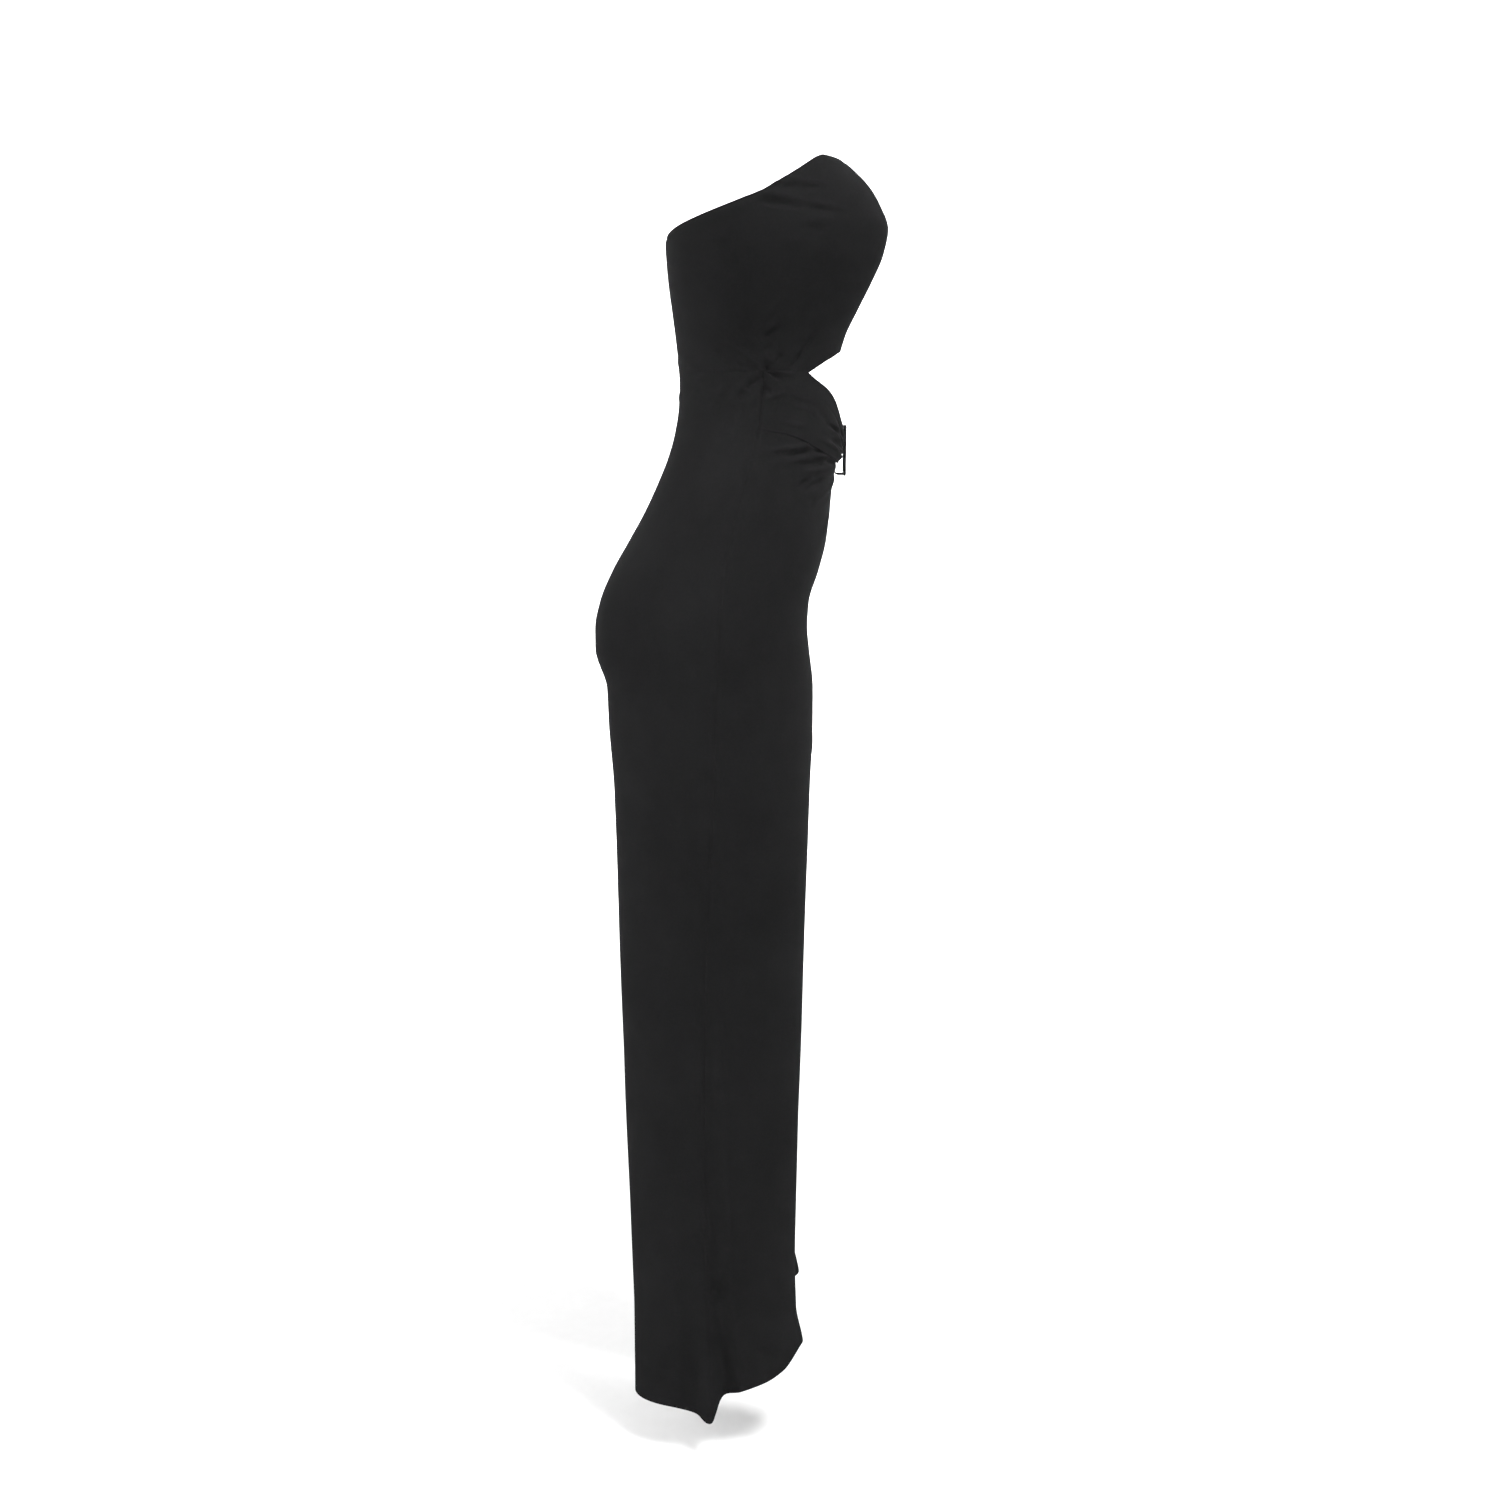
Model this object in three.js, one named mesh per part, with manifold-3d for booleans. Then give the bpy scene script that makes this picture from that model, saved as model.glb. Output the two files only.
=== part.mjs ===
// A black strapless jumpsuit in stretch jersey, with a front cutout and a buckle at the waist.
// Millimetres, +Z up. The front of the garment faces -Y and the wearer's right is at -X.
// The origin is the middle of the hollow at the natural waist, where the garment is held.
import * as THREE from "three";
import { mergeVertices } from "three/addons/utils/BufferGeometryUtils.js";
import Module from "manifold-3d";

const wasm = await Module();
wasm.setup();

// Cloth and seams.
const CLOTH = 1.5; // jersey with its turned seam allowance
const SEAM_GAP = 0.3;
const LAP = 10; // the band covers this much of the trouser fronts
const WAIST_SEAM = 11; // height of the seam under the bodice

// Buckle.
const BUCKLE_WIDTH = 32;
const BUCKLE_TOP = -38;
const BUCKLE_BOTTOM = -89;
const BUCKLE_BAR = 4; // face of the frame
const BUCKLE_BACK = 86.3; // distance forward of the frame's back face
const BUCKLE_FRONT = 88.1;
const BUCKLE_CORNER = 6;
const CENTRE_BAR_WIDTH = 3.2;
const CENTRE_BAR_DEPTH = 1;

// Level sections of the hollow. Each half of a section runs from the centre front round the
// side to the centre back. front, back and seam are distances forward of the origin: of the
// foremost point, of the hindmost point and of the side seam. side is the half width, frontX
// and backX say how far out the foremost and hindmost points are.
const SECTIONS = [
  { z: 230, front: 56, back: -93, side: 132, seam: -10, frontX: 50, backX: 30 },
  { z: 215, front: 70, back: -93, side: 133, seam: -11, frontX: 52, backX: 30 },
  { z: 200, front: 83, back: -93, side: 134.5, seam: -12, frontX: 55, backX: 30 },
  { z: 192, front: 91.5, back: -93, side: 135.3, seam: -12, frontX: 57, backX: 30 },
  { z: 185, front: 99, back: -92.5, side: 136, seam: -12, frontX: 58, backX: 30 },
  { z: 175, front: 107.2, back: -92.2, side: 136.8, seam: -12, frontX: 60, backX: 30 },
  { z: 165, front: 113.2, back: -92, side: 137.5, seam: -12, frontX: 61, backX: 30 },
  { z: 142, front: 121.8, back: -91.5, side: 138, seam: -12, frontX: 62, backX: 30 },
  { z: 120, front: 117.9, back: -90.5, side: 136, seam: -11, frontX: 61, backX: 30 },
  { z: 95, front: 107.6, back: -88.5, side: 131, seam: -9, frontX: 56, backX: 30 },
  { z: 70, front: 95.2, back: -85.5, side: 125, seam: -6, frontX: 48, backX: 28 },
  { z: 45, front: 83.6, back: -82.5, side: 118.5, seam: -2, frontX: 38, backX: 26 },
  { z: 20, front: 78.2, back: -80, side: 114.5, seam: 3, frontX: 28, backX: 24 },
  { z: 0, front: 78, back: -79, side: 113, seam: 4, frontX: 24, backX: 22 },
  { z: -20, front: 79.3, back: -80, side: 114.5, seam: 2, frontX: 24, backX: 22 },
  { z: -45, front: 79.2, back: -84, side: 119.5, seam: -2, frontX: 26, backX: 22 },
  { z: -70, front: 77.6, back: -91, side: 128, seam: -8, frontX: 28, backX: 26 },
  { z: -95, front: 73.8, back: -101.2, side: 137, seam: -15, frontX: 30, backX: 32 },
  { z: -120, front: 71.4, back: -113, side: 146, seam: -21, frontX: 32, backX: 38 },
  { z: -150, front: 68.1, back: -130, side: 154.5, seam: -28, frontX: 36, backX: 46 },
  { z: -180, front: 60.2, back: -147, side: 161, seam: -33, frontX: 45, backX: 54 },
  { z: -210, front: 50, back: -159.2, side: 165.5, seam: -36, frontX: 60, backX: 61 },
  { z: -235, front: 48.2, back: -163.8, side: 168, seam: -38, frontX: 67, backX: 66 },
  { z: -255, front: 50, back: -163.6, side: 169.5, seam: -39, frontX: 70, backX: 69 },
  { z: -295, front: 54.3, back: -152.3, side: 170, seam: -41, frontX: 73, backX: 74 },
  { z: -335, front: 54.6, back: -151, side: 167.5, seam: -42, frontX: 74, backX: 75 },
  { z: -400, front: 52, back: -147.5, side: 162, seam: -44, frontX: 74, backX: 75 },
  { z: -520, front: 49.4, back: -146.2, side: 149.5, seam: -51, frontX: 73.5, backX: 74 },
  { z: -600, front: 47.3, back: -145.5, side: 141, seam: -54, frontX: 73, backX: 73 },
  { z: -800, front: 42.7, back: -142, side: 122, seam: -56, frontX: 70.5, backX: 70 },
  { z: -920, front: 41, back: -140, side: 112.5, seam: -55, frontX: 69, backX: 69 },
  { z: -1000, front: 43, back: -138.5, side: 106.5, seam: -54, frontX: 68, backX: 68 },
  { z: -1045, front: 51, back: -138.8, side: 103, seam: -53, frontX: 68, backX: 68 },
  { z: -1125, front: 56, back: -139.8, side: 101, seam: -52, frontX: 68, backX: 68 },
];

// The edge of each half on the middle plane: its distances forward in front and behind.
const RISE = [
  { z: 230, front: 52, back: -92 },
  { z: 200, front: 76.5, back: -92 },
  { z: 142, front: 112, back: -90.5 },
  { z: 95, front: 101.5, back: -88 },
  { z: 45, front: 82, back: -82 },
  { z: 0, front: 77.7, back: -79 },
  { z: -45, front: 79, back: -84 },
  { z: -70, front: 77.4, back: -90.6 },
  { z: -95, front: 73.6, back: -100.2 },
  { z: -150, front: 67.6, back: -128 },
  { z: -180, front: 59, back: -145 },
  { z: -210, front: 48, back: -157.4 },
  { z: -235, front: 45.7, back: -161.4 },
];

// From here down to the crotch the front and back edges are quarters of an ellipse, and the
// section turns from a flat crossing of the middle into the insides of two legs.
const RISE_BEND = -235;
const CROTCH = -345;
const CROTCH_FORWARD = -38;

// Below the crotch: how far forward each inseam is, and how far off the middle plane. bow is
// 1 where the inside of the leg is a quarter of an ellipse, and less where it is squarer.
const INSEAM = [
  { z: CROTCH, forward: CROTCH_FORWARD, inner: 0.5, bow: 0.55 },
  { z: -375, forward: -42, inner: 3, bow: 0.62 },
  { z: -450, forward: -46, inner: 10, bow: 0.85 },
  { z: -540, forward: -48, inner: 17, bow: 1 },
  { z: -800, forward: -49, inner: 28, bow: 1 },
  { z: -1125, forward: -46, inner: 36, bow: 1 },
];

// Edges of the pieces. across is 0 at the centre front or the front inseam, 0.5 at the side
// seam and 1 at the centre back or the back inseam; z is the height of the edge there.
const TOP_EDGE = [
  { across: 0, z: 202 },
  { across: 0.1, z: 202.5 },
  { across: 0.2, z: 203 },
  { across: 0.29, z: 203 },
  { across: 0.32, z: 200 },
  { across: 0.35, z: 194.5 },
  { across: 0.4, z: 183.5 },
  { across: 0.5, z: 162 },
  { across: 0.7, z: 144 },
  { across: 1, z: 133 },
];
const CUTOUT_APEX = 0.352;
const CUTOUT_TOP = [
  { across: 0, z: 33 },
  { across: 0.12, z: 31.8 },
  { across: 0.2, z: 28.3 },
  { across: 0.29, z: 19.2 },
  { across: CUTOUT_APEX, z: WAIST_SEAM },
];
const CUTOUT_FOOT = [
  { across: 0, z: -43.6 },
  { across: 0.07, z: -43.6 },
  { across: 0.107, z: -40.5 },
  { across: 0.148, z: -33 },
  { across: 0.178, z: -24 },
  { across: 0.211, z: -14 },
  { across: 0.252, z: -5 },
  { across: 0.32, z: 5 },
  { across: CUTOUT_APEX, z: WAIST_SEAM },
];
const BAND_FOOT = [
  { across: 0, z: -75.5 },
  { across: 0.1, z: -74.5 },
  { across: 0.15, z: -72.3 },
  { across: 0.19, z: -69.5 },
  { across: 0.26, z: -63.5 },
  { across: 0.31, z: -58 },
  { across: 0.36, z: -51.5 },
  { across: 0.42, z: -45.8 },
  { across: 0.5, z: -42.5 },
];
const HEM = [
  { across: 0, z: -1082 },
  { across: 0.1, z: -1062 },
  { across: 0.2, z: -1043 },
  { across: 0.255, z: -1043 },
  { across: 0.32, z: -1066.5 },
  { across: 0.36, z: -1076.5 },
  { across: 0.44, z: -1088 },
  { across: 0.474, z: -1093 },
  { across: 0.5, z: -1115 },
  { across: 0.52, z: -1116 },
  { across: 0.535, z: -1115 },
  { across: 0.552, z: -1112.5 },
  { across: 0.6, z: -1107 },
  { across: 0.68, z: -1106 },
  { across: 0.75, z: -1104.5 },
  { across: 0.9, z: -1098 },
  { across: 1, z: -1082 },
];

// Large folds of the trousers. Each runs from one point to another of [across, z]; width is
// half its foot and start and end are its heights there, or depths where they are negative.
const FOLDS = [
  { from: [0.5, -1116], to: [0.5, -985], width: 17, start: 13, end: 0 },
  { from: [0.462, -1105], to: [0.47, -960], width: 17, start: -5, end: -3 },
  { from: [0.47, -960], to: [0.488, -620], width: 15, start: -3, end: -1.5 },
  { from: [0.545, -1105], to: [0.54, -900], width: 20, start: -3.5, end: -1 },
  { from: [0.27, -56], to: [0.46, -61.5], width: 7, start: 1.8, end: 0.6 },
  { from: [0.19, -67], to: [0.43, -73.5], width: 7.5, start: 2.3, end: 0.6 },
  { from: [0.15, -79], to: [0.36, -87], width: 8, start: 2, end: 0.5 },
  { from: [0.12, -92], to: [0.28, -108], width: 9, start: 1.6, end: 0.5 },
  { from: [0.33, -1030], to: [0.43, -1000], width: 18, start: 1.6, end: 0.5 },
  { from: [0.66, -1050], to: [0.57, -1000], width: 20, start: 2, end: 0.6 },
  { from: [0.66, -640], to: [0.57, -600], width: 20, start: 1.6, end: 0.5 },
  { from: [0.1, -385], to: [0.19, -355], width: 16, start: 2.5, end: 0.8 },
];

const FOLD_FREED = 6; // how far below the band a fold reaches its full height

// Gathers of the band, drawn together by the buckle. level is 0 at the band's foot and 1 at
// its top; reach is how far across each gather runs before it dies away.
const GATHERS = [
  { level: 0.14, width: 0.13, height: 1.7, reach: 0.36 },
  { level: 0.37, width: 0.12, height: 1.3, reach: 0.27 },
  { level: 0.6, width: 0.12, height: 1.6, reach: 0.31 },
  { level: 0.84, width: 0.12, height: 1.1, reach: 0.22 },
];

// How the band stands off the trouser fronts. Distances are in mm; the places where each
// effect starts or ends are in across, from the centre front.
const BAND = {
  clearance: 0.45,
  centreRise: 3.7, // more clearance over the buckle's centre bar
  riseFull: 0.05,
  riseEnd: 0.28,
  puff: 0.8, // the cloth swells inside the buckle
  puffEnd: 0.036,
  rollUnder: 2.9, // the foot turns in near the centre
  rollLevel: 0.26,
  settle: 22, // height below the waist seam where it is fully off the trousers
  pinchStart: 0.052, // the gathers are pressed flat behind the frame
  pinchEnd: 0.1,
};
const BAND_CROWDING = 1.25; // columns stand closer towards the buckle

// A smooth curve through a table's rows that never swings past them.
function curve(rows, key, value) {
  const table = [...rows].sort((a, b) => a[key] - b[key]);
  const x = table.map((row) => row[key]);
  const y = table.map((row) => row[value]);
  const step = x.slice(1).map((v, i) => v - x[i]);
  const slope = step.map((h, i) => (y[i + 1] - y[i]) / h);
  const tangent = y.map((v, i) => {
    if (i === 0) return slope[0];
    if (i === y.length - 1) return slope[i - 1];
    if (slope[i - 1] * slope[i] <= 0) return 0;
    const a = 2 * step[i] + step[i - 1];
    const b = step[i] + 2 * step[i - 1];
    return (a + b) / (a / slope[i - 1] + b / slope[i]);
  });
  return (at) => {
    const v = Math.min(Math.max(at, x[0]), x[x.length - 1]);
    let i = 0;
    while (i < step.length - 1 && v > x[i + 1]) i++;
    const h = step[i];
    const t = (v - x[i]) / h;
    return (
      (2 * t ** 3 - 3 * t ** 2 + 1) * y[i] +
      (t ** 3 - 2 * t ** 2 + t) * h * tangent[i] +
      (3 * t ** 2 - 2 * t ** 3) * y[i + 1] +
      (t ** 3 - t ** 2) * h * tangent[i + 1]
    );
  };
}

const columns = (rows, names) =>
  Object.fromEntries(names.map((name) => [name, curve(rows, "z", name)]));
const section = columns(SECTIONS, ["front", "back", "side", "seam", "frontX", "backX"]);
const rise = columns(RISE, ["front", "back"]);
const inseam = columns(INSEAM, ["forward", "inner", "bow"]);
const edge = (rows) => curve(rows, "across", "z");
const topEdge = edge(TOP_EDGE);
const cutoutTop = edge(CUTOUT_TOP);
const cutoutFoot = edge(CUTOUT_FOOT);
const bandFoot = edge(BAND_FOOT);
const hem = edge(HEM);
const smooth = (t) => THREE.MathUtils.smoothstep(t, 0, 1);

// 0 where a section crosses the middle flat, 1 where it has become two legs.
const legShare = (z) => smooth((1.25 * (RISE_BEND - z)) / (RISE_BEND - CROTCH));

// Where each half starts, as distance forward and distance off the middle plane.
function middleEdge(z, isBack) {
  if (z < CROTCH) return [inseam.forward(z), inseam.inner(z)];
  const forward = isBack ? rise.back(z) : rise.front(z);
  if (z > RISE_BEND) return [forward, 0];
  const sunk = (RISE_BEND - z) / (RISE_BEND - CROTCH);
  return [CROTCH_FORWARD + (forward - CROTCH_FORWARD) * Math.sqrt(1 - sunk ** 2), 0];
}

// One quarter of a section, from the middle to the side seam. Each point holds its half
// width, its distance forward, the length walked so far and its share of across.
const QUARTER_STEPS = 72;
function drawQuarter(z, isBack) {
  const far = isBack ? section.back(z) : section.front(z);
  const farX = isBack ? section.backX(z) : section.frontX(z);
  const side = section.side(z);
  const seam = section.seam(z);
  const [start, inner] = middleEdge(z, isBack);
  const round = legShare(z);
  const bow = inseam.bow(z);
  const points = [];
  for (let i = 0; i < QUARTER_STEPS; i++) {
    const t = i / QUARTER_STEPS;
    const swing = (Math.PI / 2) * t;
    const flat = [farX * t, start + (far - start) * (0.5 - 0.5 * Math.cos(Math.PI * t))];
    const bent = [
      farX - (farX - inner) * Math.cos(swing) ** bow,
      start + (far - start) * Math.sin(swing) ** bow,
    ];
    points.push([0, 1].map((k) => flat[k] + (bent[k] - flat[k]) * round));
  }
  for (let i = 0; i <= QUARTER_STEPS; i++) {
    const swing = (Math.PI / 2) * (i / QUARTER_STEPS);
    points.push([farX + (side - farX) * Math.sin(swing), seam + (far - seam) * Math.cos(swing)]);
  }
  let length = 0;
  points.forEach((p, i) => {
    if (i > 0) length += Math.hypot(p[0] - points[i - 1][0], p[1] - points[i - 1][1]);
    p.push(length);
  });
  return { points, length, innerLength: points[QUARTER_STEPS][2] };
}

// Through the crotch the inner part of a section grows fast. Its share of across is spread
// over a longer stretch there, so that the columns of the mesh run smoothly into the legs.
const SPREAD_END = -480;
function innerShare(z, isBack, drawn) {
  if (z >= RISE_BEND || z <= SPREAD_END) return drawn.innerLength / drawn.length;
  const [above, below] = [RISE_BEND, SPREAD_END].map((end) => {
    const { innerLength, length } = drawQuarter(end, isBack);
    return innerLength / length;
  });
  const t = smooth((RISE_BEND - z) / (RISE_BEND - SPREAD_END));
  return above + (below - above) * t;
}

const quarters = new Map();
function quarter(z, isBack) {
  const key = `${isBack} ${z.toFixed(4)}`;
  if (quarters.has(key)) return quarters.get(key);
  const drawn = drawQuarter(z, isBack);
  const { points, length, innerLength } = drawn;
  const share = innerShare(z, isBack, drawn);
  for (const p of points) {
    const inInner = p[2] <= innerLength;
    const outerPart = (p[2] - innerLength) / (length - innerLength);
    p.push(inInner ? (share * p[2]) / innerLength : share + (1 - share) * outerPart);
  }
  quarters.set(key, drawn);
  return drawn;
}

// The half width, distance forward and length walked at a place on the section.
function locate(across, z) {
  const part = Math.abs(across);
  const isBack = part > 0.5;
  const { points } = quarter(z, isBack);
  const share = 2 * (isBack ? 1 - part : part);
  let low = 0;
  let high = points.length - 1;
  while (high - low > 1) {
    const mid = (low + high) >> 1;
    if (points[mid][3] > share) high = mid;
    else low = mid;
  }
  const span = points[high][3] - points[low][3];
  const t = span > 0 ? (share - points[low][3]) / span : 0;
  return [0, 1, 2].map((k) => points[low][k] + (points[high][k] - points[low][k]) * t);
}

// The smooth cloth surface before any fold. across above 0 is the wearer's right half.
function smoothSkin(across, z) {
  const [out, forward] = locate(across, z);
  return new THREE.Vector3(across < 0 ? out : -out, -forward, z);
}

// Distance along a section from the side seam, positive towards the back.
function fromSideSeam(part, z) {
  const isBack = part > 0.5;
  const away = quarter(z, isBack).length - locate(part, z)[2];
  return isBack ? away : -away;
}

// The outward direction of any surface given as point(across, z).
const NUDGE = 0.004;
function outward(point, across, z, low, high) {
  const before = point(Math.max(across - NUDGE, low), z);
  const after = point(Math.min(across + NUDGE, high), z);
  const under = point(across, z - 1);
  const over = point(across, z + 1);
  return after.sub(before).cross(over.sub(under)).normalize().negate();
}

// How far across may go on one half; the left half stops just short of 0, the right half's edge.
const halfLimits = (hand) => (hand < 0 ? [-1, -1e-7] : [0, 1]);

function foldHeight(across, z) {
  const here = fromSideSeam(Math.abs(across), z);
  let height = 0;
  for (const { from, to, width, start, end } of FOLDS) {
    if (z > Math.max(from[1], to[1]) + width || z < Math.min(from[1], to[1]) - width) continue;
    const foot = fromSideSeam(from[0], z);
    const run = [fromSideSeam(to[0], z) - foot, to[1] - from[1]];
    const gap = [here - foot, z - from[1]];
    const along = (run[0] * gap[0] + run[1] * gap[1]) / (run[0] ** 2 + run[1] ** 2);
    const t = Math.min(Math.max(along, 0), 1);
    const away = Math.hypot(gap[0] - run[0] * t, gap[1] - run[1] * t) / width;
    if (away < 1) height += (start + (end - start) * t) * (1 - away ** 2) ** 2;
  }
  return height;
}

// The folds come out from under the band, which presses the cloth flat.
function skin(across, z) {
  const point = smoothSkin(across, z);
  const freed = smooth((bandFoot(Math.abs(across)) - z) / FOLD_FREED);
  const height = freed === 0 ? 0 : freed * foldHeight(across, z);
  if (height === 0) return point;
  const limits = halfLimits(across);
  return point.addScaledVector(outward(smoothSkin, across, z, ...limits), height);
}

// A closed wall of cloth. outer(i, j) gives the point and the outward direction at column i
// and row j; the inside lies one thickness behind it.
function wall(columnCount, rowCount, thickness, outer) {
  const positions = [];
  const index = [];
  const side = (columnCount + 1) * (rowCount + 1);
  for (const depth of [0, thickness]) {
    for (let j = 0; j <= rowCount; j++) {
      for (let i = 0; i <= columnCount; i++) {
        const { point, direction } = outer(i, j);
        positions.push(...point.clone().addScaledVector(direction, -depth).toArray());
      }
    }
  }
  const at = (i, j, inside) => j * (columnCount + 1) + i + (inside ? side : 0);
  const quad = (a, b, c, d) => index.push(a, b, c, a, c, d);
  for (let j = 0; j < rowCount; j++) {
    for (let i = 0; i < columnCount; i++) {
      quad(at(i, j), at(i + 1, j), at(i + 1, j + 1), at(i, j + 1));
      quad(at(i, j, true), at(i, j + 1, true), at(i + 1, j + 1, true), at(i + 1, j, true));
    }
  }
  for (let i = 0; i < columnCount; i++) {
    quad(at(i, 0), at(i, 0, true), at(i + 1, 0, true), at(i + 1, 0));
    quad(at(i + 1, rowCount), at(i + 1, rowCount, true), at(i, rowCount, true), at(i, rowCount));
  }
  for (let j = 0; j < rowCount; j++) {
    quad(at(0, j + 1), at(0, j + 1, true), at(0, j, true), at(0, j));
    quad(
      at(columnCount, j),
      at(columnCount, j, true),
      at(columnCount, j + 1, true),
      at(columnCount, j + 1)
    );
  }
  const geometry = new THREE.BufferGeometry();
  geometry.setAttribute("position", new THREE.Float32BufferAttribute(positions, 3));
  geometry.setIndex(index);
  return faceOutward(geometry);
}

// Turns every face over when the closed surface encloses a negative volume.
function faceOutward(geometry) {
  const p = geometry.getAttribute("position");
  const index = geometry.getIndex().array;
  const corner = (k) => new THREE.Vector3().fromBufferAttribute(p, index[k]);
  let volume = 0;
  for (let k = 0; k < index.length; k += 3) {
    volume += corner(k).dot(corner(k + 1).cross(corner(k + 2)));
  }
  if (volume < 0) {
    for (let k = 0; k < index.length; k += 3) {
      [index[k + 1], index[k + 2]] = [index[k + 2], index[k + 1]];
    }
  }
  geometry.computeVertexNormals();
  return geometry;
}

const jersey = () =>
  new THREE.MeshStandardMaterial({ color: 0x1b1b1c, roughness: 0.85, metalness: 0 });
const gunmetal = () =>
  new THREE.MeshStandardMaterial({ color: 0x4a4b4e, roughness: 0.3, metalness: 1 });

function piece(name, geometry, material) {
  const mesh = new THREE.Mesh(geometry, material);
  mesh.name = name;
  return mesh;
}

// Half a seam gap, in units of across, at the side seam or at the other edge of a quarter.
function seamInset(z, isBack, atSide) {
  const { points } = quarter(z, isBack);
  const near = atSide ? points.length - 2 : 1;
  const far = atSide ? points.length - 1 : 0;
  const scale = (points[near][2] - points[far][2]) / (points[near][3] - points[far][3]);
  return SEAM_GAP / 2 / (2 * scale);
}

// A bodice piece crosses the middle. turn is the across of its middle: 0 in front, 1 behind.
function bodice(name, turn, foot, columnCount, rowCount) {
  const geometry = wall(columnCount, rowCount, CLOTH, (i, j) => {
    const share = (2 * i) / columnCount - 1;
    const rough = Math.abs(turn - 0.5 * Math.abs(share));
    const low = foot(rough) + SEAM_GAP / 2;
    const z = low + ((topEdge(rough) - low) * j) / rowCount;
    const reach = 0.5 - seamInset(z, turn === 1, true);
    const place = (offset, height) => {
      const across = Math.abs(turn - Math.abs(offset));
      return smoothSkin(offset < 0 ? -across : across, height);
    };
    const offset = share * reach;
    const point = place(offset, z);
    const direction = outward(place, offset, z, -0.5, 0.5);
    if (turn === 1) direction.negate();
    return { point, direction };
  });
  return piece(name, geometry, jersey());
}

const bodiceFrontFoot = (across) => (across < CUTOUT_APEX ? cutoutTop(across) : WAIST_SEAM);

// The band lies over the trouser fronts and is lifted off them by the buckle's centre bar.
function bandLift(across, z, level) {
  const part = Math.abs(across);
  const towardCentre = smooth((BAND.riseEnd - part) / (BAND.riseEnd - BAND.riseFull));
  const settled = smooth((WAIST_SEAM + 1 - z) / BAND.settle);
  const puff = BAND.puff * smooth(1 - part / BAND.puffEnd);
  const roll = BAND.rollUnder * smooth(1 - level / BAND.rollLevel) * towardCentre;
  return settled * (CLOTH + BAND.clearance + BAND.centreRise * towardCentre) + puff - roll;
}

function gatherHeight(across, level) {
  const part = Math.abs(across);
  const freed = smooth((part - BAND.pinchStart) / (BAND.pinchEnd - BAND.pinchStart));
  let height = 0;
  for (const gather of GATHERS) {
    const away = Math.abs(level - gather.level) / gather.width;
    if (away < 1 && part < gather.reach) {
      height += gather.height * (1 - away ** 2) ** 2 * smooth(1 - part / gather.reach);
    }
  }
  return height * freed;
}

function band() {
  const columnCount = 42;
  const rowCount = 12;
  const point = (across, z) => {
    const part = Math.abs(across);
    const low = bandFoot(part);
    const high = part < CUTOUT_APEX ? cutoutFoot(part) : WAIST_SEAM;
    const level = (z - low) / (high - low);
    const lift = bandLift(across, z, level) + gatherHeight(across, level);
    return smoothSkin(across, z).addScaledVector(
      outward(smoothSkin, across, z, -0.5, 0.5),
      lift
    );
  };
  const geometry = wall(columnCount, rowCount, CLOTH, (i, j) => {
    const share = (2 * i) / columnCount - 1;
    const crowded = Math.sign(share) * Math.abs(share) ** BAND_CROWDING;
    const across = crowded * (0.5 - seamInset(WAIST_SEAM, false, true));
    const part = Math.abs(across);
    const low = bandFoot(part);
    const high = (part < CUTOUT_APEX ? cutoutFoot(part) : WAIST_SEAM) - SEAM_GAP / 2;
    const z = low + ((high - low) * j) / rowCount;
    return { point: point(across, z), direction: outward(point, across, z, -0.5, 0.5) };
  });
  return piece("front_band", geometry, jersey());
}

// Rows shared by the trouser pieces, so that both sides of a seam bend together.
const TOP_STEPS = 6;
const HIP_ROWS = [-110, -130, -155, -180, -205, -227, -246, -263, -279, -294, -307];
const CROTCH_ROWS = [-318, -327, -335, -341, CROTCH, -352, -365, -385, -415, -455];
const LEG_ROWS = [-505, -555, -605, -655, -705, -765, -825, -885, -940, -985];
const HEM_STEPS = 6;
const BACK_TOP_ROWS = [-4, -18];

function trouserRows(isBack) {
  const rows = [];
  const frontTop = (part) => bandFoot(part) + LAP;
  if (isBack) {
    rows.push(() => WAIST_SEAM - SEAM_GAP / 2);
    for (const z of BACK_TOP_ROWS) rows.push(() => z);
  }
  const top = isBack ? () => frontTop(0.5) : frontTop;
  for (let k = 0; k < TOP_STEPS; k++) {
    rows.push((part) => top(part) + ((HIP_ROWS[0] - top(part)) * k) / TOP_STEPS);
  }
  for (const z of [...HIP_ROWS, ...CROTCH_ROWS, ...LEG_ROWS]) rows.push(() => z);
  const ankle = LEG_ROWS[LEG_ROWS.length - 1];
  for (let k = 1; k <= HEM_STEPS; k++) {
    rows.push((part) => ankle + ((hem(part) - ankle) * k) / HEM_STEPS);
  }
  return rows;
}

// One trouser piece: hand is 1 for the wearer's right leg and -1 for the left.
function trouser(name, hand, isBack) {
  const columnCount = 13;
  const rows = trouserRows(isBack);
  const start = isBack ? 0.5 : 0;
  const geometry = wall(columnCount, rows.length - 1, CLOTH, (i, j) => {
    const rough = start + (0.5 * i) / columnCount;
    const z = rows[j](rough);
    const first = seamInset(z, isBack, isBack);
    const last = seamInset(z, isBack, !isBack);
    const part = start + first + ((0.5 - first - last) * i) / columnCount;
    const across = hand * part;
    const limits = halfLimits(hand);
    const point = skin(across, z);
    const direction = outward(skin, across, z, ...limits);
    point.x -= hand * (SEAM_GAP / 2) * legShare(z);
    return { point, direction };
  });
  return piece(name, geometry, jersey());
}

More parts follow.
